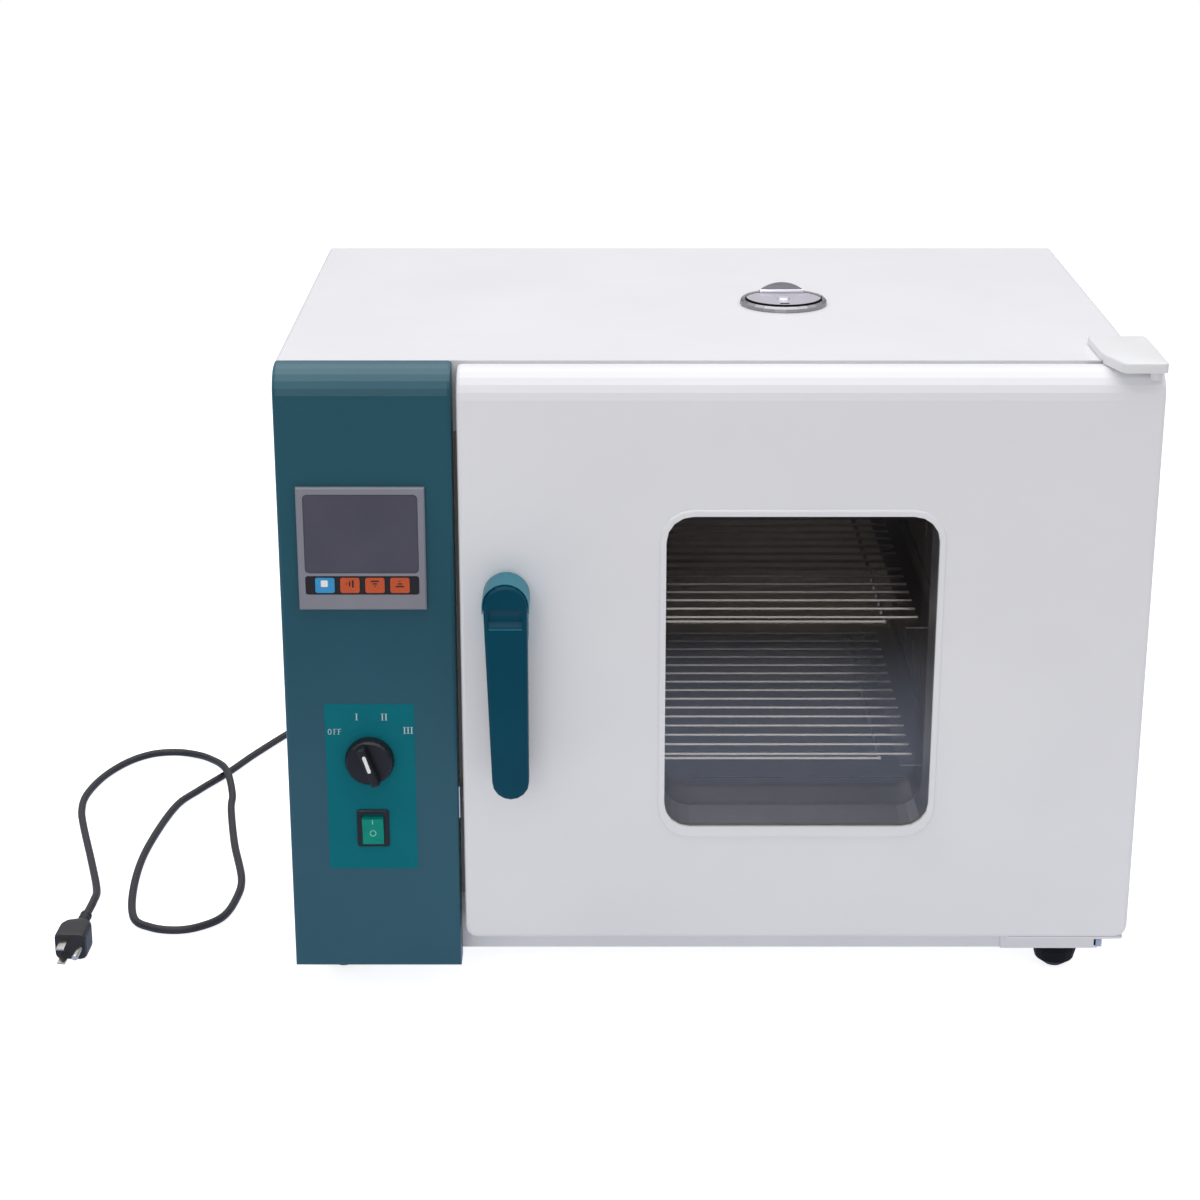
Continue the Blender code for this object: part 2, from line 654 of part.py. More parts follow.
def make_cabinet():
    """Wrap, base, rear panel, front frame, control panel and the wall beside the chamber."""
    inner_left = LEFT + SHEET + GAP
    inner_right = RIGHT - SHEET - GAP
    inner_top = TOP - SHEET - GAP
    wrap = folded([(LEFT, BOTTOM), (LEFT, TOP), (RIGHT, TOP), (RIGHT, BOTTOM)], FRONT, BODY_DEPTH, "Y",
                  SHELL_BEND, 3)
    bmesh.ops.recalc_face_normals(wrap, faces=wrap.faces)
    shell = place("cabinet_shell", wrap, WHITE_PAINT)
    sheet(shell, SHEET)
    reach = SHEET + 2 * OVERRUN
    cut(shell, rod((VENT_X, VENT_Y, TOP - SHEET - OVERRUN), "Z", reach, VENT_BORE + VENT_WALL + GAP))

    base_back = BACK_PANEL - GAP
    pan = block((inner_left, inner_right), (FRONT + SHEET + GAP, base_back), (BOTTOM, BOTTOM + BASE_LIP))
    bmesh.ops.delete(pan, geom=[face for face in pan.faces if face.normal.z > 0.5], context="FACES_ONLY")
    base = place("base_plate", pan, WHITE_PAINT)
    sheet(base, SHEET)
    cut(base, together([rod((x, y, BOTTOM - OVERRUN), "Z", reach, FOOT_STUD + GAP, sides=12)
                        for x, y in foot_places()]))

    rear = block((inner_left, inner_right), (BACK_PANEL, BACK_PANEL + SHEET), (BOTTOM + GAP, inner_top))
    rounded(rear, SHELL_BEND, 2, "Y", lambda spot: spot.z > inner_top - GAP)
    back = place("back_panel", rear, WHITE_PAINT)
    slots = []
    for column in range(SLIT_COLUMNS):
        for row in range(SLIT_ROWS):
            x = LEFT + SLIT_INSET + column * SLIT_STEP_X
            z = BOTTOM + SLIT_RISE + row * SLIT_STEP_Z
            slots.append(prism(x, BACK_PANEL - OVERRUN, z, SLIT_LENGTH, SLIT_HEIGHT, SLIT_HEIGHT * 0.4,
                               reach, 1))
    cut(back, together(slots),
        rod((GLAND_X, BACK_PANEL - OVERRUN, GLAND_Z), "Y", reach, GLAND_NECK + GAP, sides=16))

    border = block((PANEL_RIGHT - FRAME_LAP, inner_right), (FRONT, FRONT + SHEET), (BOTTOM + GAP, inner_top))
    rounded(border, SHELL_BEND, 2, "Y", lambda spot: spot.z > inner_top - GAP and spot.x > LINER_RIGHT)
    frame = place("front_frame", border, WHITE_PAINT)
    mouth = LINER_SHEET + GAP
    cut(frame, prism(LINER_MIDDLE, FRONT - OVERRUN, LINER_CENTRE, LINER_WIDTH + 2 * mouth,
                     LINER_HEIGHT + 2 * mouth, LINER_CORNER + mouth, reach, 2))

    panel = place("control_panel", tray((LEFT, PANEL_RIGHT), (PANEL_FRONT, FRONT - GAP),
                                        (BOTTOM - PANEL_DROP, TOP), PANEL_BEND, 0, PANEL_EDGE), TEAL_PAINT)
    sheet(panel, SHEET)
    cut(panel,
        prism(CONTROLLER_X, PANEL_FRONT - OVERRUN, CONTROLLER_Z, BODY_SQUARE + 2 * GAP, BODY_SQUARE + 2 * GAP,
              PANEL_EDGE, reach, 1),
        rod((KNOB_X, PANEL_FRONT - OVERRUN, KNOB_Z), "Y", reach, SPINDLE_NECK + GAP, sides=16),
        prism(ROCKER_X, PANEL_FRONT - OVERRUN, ROCKER_Z, ROCKER_BODY_WIDTH + 2 * GAP,
              ROCKER_BODY_HEIGHT + 2 * GAP, ROCKER_CORNER, reach, 1))

    wall_front = FRONT + 2 * (SHEET + GAP)
    wall = place("partition_wall", block((PANEL_RIGHT - SHEET, PANEL_RIGHT),
                                         (wall_front, BACK_PANEL - SHEET - 2 * GAP),
                                         (BOTTOM + SHEET + GAP, inner_top)), GALVANISED)
    near = PANEL_RIGHT - SHEET - OVERRUN
    cut(wall, rod((near, FAN_Y, FAN_Z), "X", reach, SHAFT_HOLE, sides=12),
        *(rod((near, y, HEATER_Z), "X", reach, HEATER_HOLE, sides=8) for y in heater_rows()[::3]),
        rod((near, PROBE_Y, PROBE_Z), "X", reach, PROBE_HOLE, sides=8))


def foot_places():
    return [(x, y) for x in (LEFT + FOOT_INSET, RIGHT - FOOT_INSET)
            for y in (FRONT + FOOT_SETBACK, BACK - FOOT_INSET)]


def heater_rows():
    """Four straight passes of the heater, front to back."""
    return [FAN_Y + HEATER_PITCH * (row - 1.5) for row in range(4)]


def make_feet():
    """Domed rubber feet, each on a threaded stud through the base."""
    names = ("foot_front_left", "foot_rear_left", "foot_front_right", "foot_rear_right")
    body = FOOT_HEIGHT - GAP
    flat = FOOT_RADIUS * 0.42
    for name, (x, y) in zip(names, foot_places()):
        stud_top = body + FOOT_STUD_LENGTH
        profile = [(0, stud_top), (FOOT_STUD, stud_top), (FOOT_STUD, body), (FOOT_RADIUS, body),
                   (FOOT_RADIUS, body * 0.62), (FOOT_RADIUS * 0.86, body * 0.24), (flat, 0), (0, 0)]
        turned(name, profile, BLACK_RUBBER, (x, y, 0), sides=16)


def make_liner():
    """Stainless chamber box with its flange, and the sheets that guide the air inside it."""
    flange_side = LINER_INSET - GAP
    front = FRONT - GAP - LINER_SHEET
    box = loft([((LINER_MIDDLE, front, LINER_CENTRE), LINER_WIDTH + 2 * flange_side,
                 LINER_HEIGHT + 2 * LINER_FLANGE, LINER_CORNER),
                ((LINER_MIDDLE, front, LINER_CENTRE), LINER_WIDTH, LINER_HEIGHT, LINER_CORNER),
                ((LINER_MIDDLE, LINER_BACK, LINER_CENTRE), LINER_WIDTH, LINER_HEIGHT, LINER_CORNER)],
               2, (False, True))
    liner = place("inner_liner", box, STAINLESS)
    sheet(liner, LINER_SHEET)
    wall = LINER_LEFT - LINER_SHEET - OVERRUN
    reach = LINER_SHEET + 2 * OVERRUN
    cut(liner, rod((VENT_X, VENT_Y, LINER_CEILING - OVERRUN), "Z", reach, VENT_BORE + VENT_WALL + GAP),
        rod((wall, FAN_Y, FAN_Z), "X", reach, SHAFT_HOLE, sides=12),
        *(rod((wall, y, HEATER_Z), "X", reach, HEATER_HOLE, sides=8) for y in heater_rows()[::3]),
        rod((wall, PROBE_Y, PROBE_Z), "X", reach, PROBE_HOLE, sides=8))

    turn = LINER_SHEET * 2
    floor = folded([(WORK_FRONT, LINER_FLOOR + GAP), (WORK_FRONT, WORK_FLOOR), (WORK_BACK, WORK_FLOOR),
                    (WORK_BACK, LINER_FLOOR + GAP)], LINER_LEFT + GAP, LINER_WIDTH - 2 * GAP, "X", turn)
    bmesh.ops.recalc_face_normals(floor, faces=floor.faces)
    plate = place("floor_plate", floor, STAINLESS)
    sheet(plate, LINER_SHEET)
    slots = []
    length = (LINER_WIDTH - 2 * FLOOR_MARGIN - (FLOOR_COLUMNS - 1) * FLOOR_BRIDGE) / FLOOR_COLUMNS
    for column in range(FLOOR_COLUMNS):
        for row in range(FLOOR_ROWS):
            x = LINER_LEFT + FLOOR_MARGIN + column * (length + FLOOR_BRIDGE)
            y = FAN_Y + (row - (FLOOR_ROWS - 1) / 2) * FLOOR_STEP
            slots.append(block((x, x + length), (y - SLOT_WIDTH / 2, y + SLOT_WIDTH / 2),
                               (WORK_FLOOR - LINER_SHEET - OVERRUN, WORK_FLOOR + OVERRUN)))
    cut(plate, together(slots))

    low, high = WORK_FLOOR + GAP, LINER_CEILING - GAP
    tall = LINER_CEILING - WORK_FLOOR - 2 * GRILLE_MARGIN - (GRILLE_ROWS - 1) * GRILLE_BRIDGE
    tall /= GRILLE_ROWS
    for name, wall, face in (("duct_panel", LINER_LEFT + GAP, WORK_LEFT),
                             ("return_panel", LINER_RIGHT - GAP, WORK_RIGHT)):
        strip = folded([(wall, WORK_FRONT), (face, WORK_FRONT), (face, WORK_BACK), (wall, WORK_BACK)], low,
                       high - low, "Z", turn)
        bmesh.ops.recalc_face_normals(strip, faces=strip.faces)
        panel = place(name, strip, STAINLESS)
        sheet(panel, LINER_SHEET)
        thick = (face - LINER_SHEET - OVERRUN, face + LINER_SHEET + OVERRUN)
        holes = []
        for column in range(GRILLE_COLUMNS):
            for row in range(GRILLE_ROWS):
                y = FAN_Y + (column - (GRILLE_COLUMNS - 1) / 2) * GRILLE_STEP
                z = WORK_FLOOR + GRILLE_MARGIN + row * (tall + GRILLE_BRIDGE)
                holes.append(block(thick, (y - SLOT_WIDTH / 2, y + SLOT_WIDTH / 2), (z, z + tall)))
        cut(panel, together(holes))
        if name == "duct_panel":
            cut(panel, rod((thick[0], PROBE_Y, PROBE_Z), "X", thick[1] - thick[0], PROBE_HOLE, sides=8))


def make_insulation():
    """Mineral wool slabs between the liner and the cabinet."""
    west = PANEL_RIGHT + GAP
    east = RIGHT - 2 * (SHEET + GAP)
    near = FRONT + 2 * (SHEET + GAP)
    far = BACK_PANEL - SHEET - 2 * GAP
    out = LINER_SHEET + GAP
    floor, ceiling = LINER_FLOOR - out, LINER_CEILING + out
    top = place("insulation_top", block((west, east), (near, far), (ceiling, TOP - SHEET - GAP)), WOOL)
    bore = VENT_BORE + VENT_WALL + GAP
    cut(top, rod((VENT_X, VENT_Y, ceiling - OVERRUN), "Z", TOP - ceiling + OVERRUN, bore))
    bottom = place("insulation_bottom", block((west, east), (near, far), (BOTTOM + SHEET + GAP, floor)), WOOL)
    cut(bottom, *(rod((x, y, BOTTOM), "Z", FOOT_STUD_LENGTH + GAP, FOOT_STUD + GAP, sides=12)
                  for x, y in foot_places() if x > PANEL_RIGHT))
    low, high = floor + GAP, ceiling - GAP
    back = LINER_BACK + out
    place("insulation_back", block((west, east), (back, far), (low, high)), WOOL)
    place("insulation_right", block((LINER_RIGHT + out, east), (near, back - GAP), (low, high)), WOOL)
    left = place("insulation_left", block((west, LINER_LEFT - out), (near, back - GAP), (low, high)), WOOL)
    reach = LINER_INSET + 2 * OVERRUN
    cut(left, rod((west - OVERRUN, FAN_Y, FAN_Z), "X", reach, SHAFT_HOLE, sides=12),
        *(rod((west - OVERRUN, y, HEATER_Z), "X", reach, HEATER_HOLE, sides=8) for y in heater_rows()[::3]),
        rod((west - OVERRUN, PROBE_Y, PROBE_Z), "X", reach, PROBE_HOLE, sides=8))


def make_heater():
    """Sheathed heater bent into four passes under the floor plate, its cold ends in the compartment."""
    rows = heater_rows()
    west = LINER_LEFT + HEATER_MARGIN
    east = LINER_RIGHT - HEATER_MARGIN
    cold = PANEL_RIGHT - HEATER_TAIL
    radius = HEATER_PITCH / 2
    points = [Vector((cold, rows[0], HEATER_Z))]
    for index, (row, following) in enumerate(zip(rows, rows[1:])):
        end, way = (east, 1) if index % 2 == 0 else (west, -1)
        for step in range(5):
            angle = math.pi * step / 4
            points.append(Vector((end - way * radius + way * radius * math.sin(angle),
                                  (row + following) / 2 - radius * math.cos(angle), HEATER_Z)))
    points.append(Vector((cold, rows[-1], HEATER_Z)))
    tube("heater_tube", points, HEATER_RADIUS, DARK_STEEL, 1)


def make_probe():
    """Temperature probe through the chamber's left wall, with its collar on the partition."""
    start = PANEL_RIGHT - SHEET - GAP
    tip, stem, flange = PROBE_LENGTH, PROBE_RADIUS, PROBE_COLLAR
    profile = [(0, tip), (stem * 0.6, tip), (stem, tip - stem), (stem, 0), (flange, 0), (flange, -flange),
               (stem, -flange), (stem, -flange * 2), (0, -flange * 2)]
    turned("temperature_probe", profile, STAINLESS, (start, PROBE_Y, PROBE_Z), "X", 8)


def hoop(start, length, radius, bore, sides=24):
    """A flat ring that runs from start along +X."""
    shape = bmesh.new()
    for size in (radius, bore):
        bmesh.ops.create_circle(shape, segments=sides, radius=size)
    bmesh.ops.bridge_loops(shape, edges=shape.edges)
    grown = bmesh.ops.extrude_face_region(shape, geom=shape.faces[:])["geom"]
    moved = [item for item in grown if isinstance(item, bmesh.types.BMVert)]
    bmesh.ops.translate(shape, vec=(0, 0, length), verts=moved)
    bmesh.ops.rotate(shape, matrix=Matrix.Rotation(math.pi / 2, 3, "Y"), verts=shape.verts)
    bmesh.ops.translate(shape, vec=start, verts=shape.verts)
    bmesh.ops.recalc_face_normals(shape, faces=shape.faces)
    return shape


def make_fan():
    """Centrifugal impeller on its shaft, and the motor in the control compartment."""
    disc = LINER_LEFT + FAN_CLEARANCE
    shaft = LINER_INSET + FAN_CLEARANCE + SHEET + GAP + SHAFT_IN_MOTOR
    profile = [(0, FAN_HUB_LENGTH), (FAN_HUB * 0.6, FAN_HUB_LENGTH), (FAN_HUB, FAN_HUB_LENGTH - FAN_DISC),
               (FAN_HUB, FAN_DISC), (FAN_RADIUS, FAN_DISC), (FAN_RADIUS, 0), (FAN_SHAFT, 0),
               (FAN_SHAFT, -shaft), (0, -shaft)]
    impeller = turned("fan_impeller", profile, ALUMINIUM, (disc, FAN_Y, FAN_Z), "X")
    blades = []
    for index in range(BLADES):
        blade = bmesh.new()
        outline = []
        for side in (-1, 1):
            for step in range(3)[::side]:
                share = step / 2
                radius = FAN_INNER + (FAN_RADIUS - 2 * WELD - FAN_INNER) * share
                angle = BLADE_SWEEP_SHARE * math.pi * share * share + math.tau * index / BLADES
                shift = side * FAN_BLADE / 2
                across = radius * math.cos(angle) - shift * math.sin(angle)
                up = radius * math.sin(angle) + shift * math.cos(angle)
                outline.append(blade.verts.new((FAN_DISC - WELD, across, up)))
        face = blade.faces.new(outline)
        grown = bmesh.ops.extrude_face_region(blade, geom=[face])["geom"]
        tips = [item for item in grown if isinstance(item, bmesh.types.BMVert)]
        bmesh.ops.translate(blade, vec=(FAN_WIDTH, 0, 0), verts=tips)
        bmesh.ops.translate(blade, vec=(disc, FAN_Y, FAN_Z), verts=blade.verts)
        bmesh.ops.recalc_face_normals(blade, faces=blade.faces)
        blades.append(blade)
    rim_face = disc + FAN_DISC + FAN_WIDTH - 2 * WELD
    rim = hoop((rim_face, FAN_Y, FAN_Z), FAN_DISC, FAN_RADIUS, FAN_RADIUS - FAN_RING)
    weld(impeller, together(blades), rim)

    face = PANEL_RIGHT - SHEET - GAP
    bell = MOTOR_RADIUS
    profile = [(0, MOTOR_LENGTH), (bell * 0.5, MOTOR_LENGTH), (bell * 0.62, MOTOR_LENGTH * 0.86),
               (bell, MOTOR_LENGTH * 0.72), (bell, MOTOR_LENGTH * 0.28), (bell * 0.7, MOTOR_LENGTH * 0.12),
               (bell * 0.3, 0), (0, 0)]
    motor = turned("fan_motor", profile, BLACK_PAINT, (face - MOTOR_LENGTH, FAN_Y, FAN_Z), "X", 16)
    core = MOTOR_CORE / 2
    lams = rounded(block((face - MOTOR_LENGTH * 0.64, face - MOTOR_LENGTH * 0.36),
                         (FAN_Y - core, FAN_Y + core), (FAN_Z - core, FAN_Z + core)), PANEL_EDGE, 1, "X")
    weld(motor, lams)
    middle = MOTOR_LENGTH * 0.5
    legs = [rod((face - middle, FAN_Y + y, FAN_Z + z), "X", middle, FAN_SHAFT, sides=6)
            for y in (-core * 0.8, core * 0.8) for z in (-core * 0.8, core * 0.8)]
    weld(motor, together(legs))
    deep = SHAFT_IN_MOTOR + OVERRUN
    cut(motor, rod((face - SHAFT_IN_MOTOR - GAP, FAN_Y, FAN_Z), "X", deep, FAN_SHAFT + GAP))
    carry(pivot("fan_axis", (disc, FAN_Y, FAN_Z)), impeller)


def make_shelves():
    """Two wire shelves and the folded rails that they lie on."""
    for name, rise in (("upper", UPPER_SHELF_RISE), ("lower", LOWER_SHELF_RISE)):
        height = WORK_FLOOR + rise
        start = SHELF_X - SHELF_WIDTH / 2
        rows = [WORK_FRONT + SHELF_SETBACK + SHELF_PITCH * index for index in range(SHELF_WIRES)]
        wires = [rod((start, y, height), "X", SHELF_WIDTH, WIRE, sides=6) for y in rows]
        shelf = place(name + "_shelf", together(wires), CHROME)
        low = height - WIRE - CROSS_WIRE + WELD
        aside = SHELF_WIDTH / 2 - SHELF_OVERHANG
        cross = [rod((SHELF_X + side * aside, rows[0] - WIRE, low), "Y", rows[-1] - rows[0] + 2 * WIRE,
                     CROSS_WIRE, sides=6) for side in (-1, 1)]
        lip = rod((SHELF_X - aside, rows[0] - WIRE - WELD, low), "X", 2 * aside, WIRE, sides=6)
        weld(shelf, together(cross), lip)
        ledge = height - WIRE - GAP
        inset = GAP + LINER_SHEET
        for side, wall, way in (("left", WORK_LEFT + inset, 1), ("right", WORK_RIGHT - inset, -1)):
            strip = folded([(wall, ledge + RAIL_RISE), (wall, ledge), (wall + way * RAIL_LEDGE, ledge)],
                           WORK_FRONT + GAP, WORK_BACK - WORK_FRONT - 2 * GAP, "Y", LINER_SHEET * 2)
            rail = place(f"{name}_{side}_rail", strip, STAINLESS)
            sheet(rail, LINER_SHEET, way)


def make_vent():
    """Vent pipe through the roof with its dished collar, and the turning shutter on it."""
    wall = VENT_BORE + VENT_WALL
    base = TOP + GAP
    low = LINER_CEILING + GAP - base
    shelf = VENT_HEIGHT * 0.5
    profile = [(VENT_BORE, shelf), (VENT_RECESS, shelf), (VENT_RECESS, VENT_HEIGHT * 0.9),
               (VENT_RECESS + VENT_WALL, VENT_HEIGHT), (VENT_RADIUS - VENT_WALL, VENT_HEIGHT),
               (VENT_RADIUS, VENT_HEIGHT * 0.6), (VENT_RADIUS, 0), (wall, 0), (wall, low), (VENT_BORE, low)]
    pipe = turned("vent_pipe", profile, ALUMINIUM, (VENT_X, VENT_Y, base))
    bar_low = base + shelf - VENT_BAR
    bar = block((VENT_X - VENT_BORE - WELD, VENT_X + VENT_BORE + WELD),
                (VENT_Y - VENT_BAR, VENT_Y + VENT_BAR), (bar_low, base + shelf - GAP))
    stud = rod((VENT_X, VENT_Y, bar_low), "Z", VENT_BAR + VENT_SHEET + 3 * GAP + WELD, VENT_STUD, sides=8)
    head = rod((VENT_X, VENT_Y, base + shelf + VENT_SHEET + 2 * GAP), "Z", VENT_SHEET, VENT_STUD * 2,
               VENT_STUD * 1.4, 8)
    weld(pipe, bar, stud, head)

    plate = base + shelf + GAP
    radius = VENT_RECESS - GAP
    beyond = radius + OVERRUN
    fold = VENT_FOLD
    disc = place("vent_disc", rod((VENT_X, VENT_Y, plate), "Z", VENT_SHEET, radius), ALUMINIUM,
                 (VENT_X, VENT_Y, plate))
    thick = (plate - OVERRUN, plate + VENT_SHEET + OVERRUN)
    cut(disc, block((VENT_X - beyond, VENT_X + beyond), (VENT_Y + fold, VENT_Y + beyond), thick))
    tab = rod((VENT_X, VENT_Y + fold - VENT_SHEET, plate - fold), "Y", VENT_SHEET, radius, sides=32)
    bmesh.ops.bisect_plane(tab, geom=tab.verts[:] + tab.edges[:] + tab.faces[:],
                           plane_co=(0, 0, plate + WELD), plane_no=(0, 0, -1), clear_outer=True)
    bmesh.ops.holes_fill(tab, edges=tab.edges)
    bmesh.ops.recalc_face_normals(tab, faces=tab.faces)
    weld(disc, tab)
    slot = VENT_Y - radius + VENT_SLOT_SETBACK
    cut(disc, rod((VENT_X, VENT_Y, thick[0]), "Z", VENT_SHEET + 2 * OVERRUN, VENT_STUD + GAP, sides=8),
        block((VENT_X - VENT_SLOT / 2, VENT_X + VENT_SLOT / 2), (slot, slot + VENT_SLOT_WIDTH), thick))
    carry(pivot("vent_axis", (VENT_X, VENT_Y, plate)), disc)


def make_hinges():
    """Zinc hinge plates with their pins, and the moulded cover over the upper one."""
    plate_low = TOP + GAP
    plate_top = plate_low + HINGE_PLATE
    right = DOOR_RIGHT - COVER_INSET
    inner = right - COVER_WALL - GAP
    body_side = RIGHT - GAP
    near, far = DOOR_FRONT - COVER_LIP, FRONT + COVER_ROOT
    upper = rounded(block((inner - UPPER_HINGE_WIDTH, inner), (DOOR_FRONT, FRONT + HINGE_ROOT),
                          (plate_low, plate_top)), HINGE_PIN, 2, "Z")
    bracket = place("upper_hinge", upper, ZINC)
    cut(bracket, block((body_side - COVER_WALL - GAP, DOOR_RIGHT), (FRONT, far), (TOP, plate_top + OVERRUN)))
    weld(bracket, rod((HINGE_X, HINGE_Y, plate_low - UPPER_PIN_DROP), "Z", UPPER_PIN_DROP + WELD,
                      HINGE_PIN, sides=12))

    ledge_top = DOOR_BOTTOM - 2 * GAP
    left = HINGE_X - LOWER_HINGE_WIDTH
    ledge = block((left, HINGE_X + HINGE_PIN * 1.8), (HINGE_Y - HINGE_PIN * 2, FRONT - GAP),
                  (ledge_top - HINGE_PLATE, ledge_top))
    lower = place("lower_hinge", rounded(ledge, HINGE_PIN, 2, "Z", lambda spot: spot.y < HINGE_Y), ZINC)
    foot = block((left, RIGHT - HINGE_EDGE), (FRONT - GAP - HINGE_PLATE, FRONT - GAP),
                 (BOTTOM + GAP, ledge_top - HINGE_PLATE + WELD))
    weld(lower, foot, rod((HINGE_X, HINGE_Y, ledge_top - WELD), "Z", LOWER_PIN_RISE, HINGE_PIN, sides=12))

    low, high = DOOR_TOP + 2 * GAP, TOP + COVER_HEIGHT
    left = right - COVER_WIDTH
    cap = block((left, right), (near, far), (low, high))
    rounded(cap, COVER_CHAMFER, 1, "Z", lambda spot: spot.x < left + GAP and spot.y < near + GAP)
    rounded(cap, COVER_SOFT, 2, None, lambda spot: spot.z > high - GAP)
    cover = place("hinge_cover", cap, WHITE_PLASTIC)
    beyond = far + OVERRUN
    cut(cover, block((left - OVERRUN, DOOR_RIGHT), (DOOR_BACK, beyond), (low - OVERRUN, TOP + GAP)),
        block((body_side, DOOR_RIGHT), (FRONT + HINGE_EDGE, beyond), (low - OVERRUN, high + OVERRUN)))
    wide = (left + COVER_CHAMFER, right - COVER_WALL)
    cut(cover, block(wide, (near + COVER_WALL, FRONT + GAP), (low - OVERRUN, high - COVER_WALL)),
        block((left + COVER_WALL, body_side - COVER_WALL), (DOOR_BACK, far - COVER_WALL),
              (low - OVERRUN, high - COVER_WALL)))

    tall = STRIKER_HEIGHT / 2
    strike = place("striker_plate", block((PANEL_RIGHT + GAP, PANEL_RIGHT + GAP + STRIKER),
                                          (PANEL_FRONT + PANEL_EDGE, FRONT - LINER_SHEET - 2 * GAP),
                                          (LATCH_Z - tall, LATCH_Z + tall)), CHROME)
    cut(strike, rod((PANEL_RIGHT, LATCH_Y, LATCH_Z), "X", STRIKER + OVERRUN, LATCH_RADIUS * 0.6, sides=12))


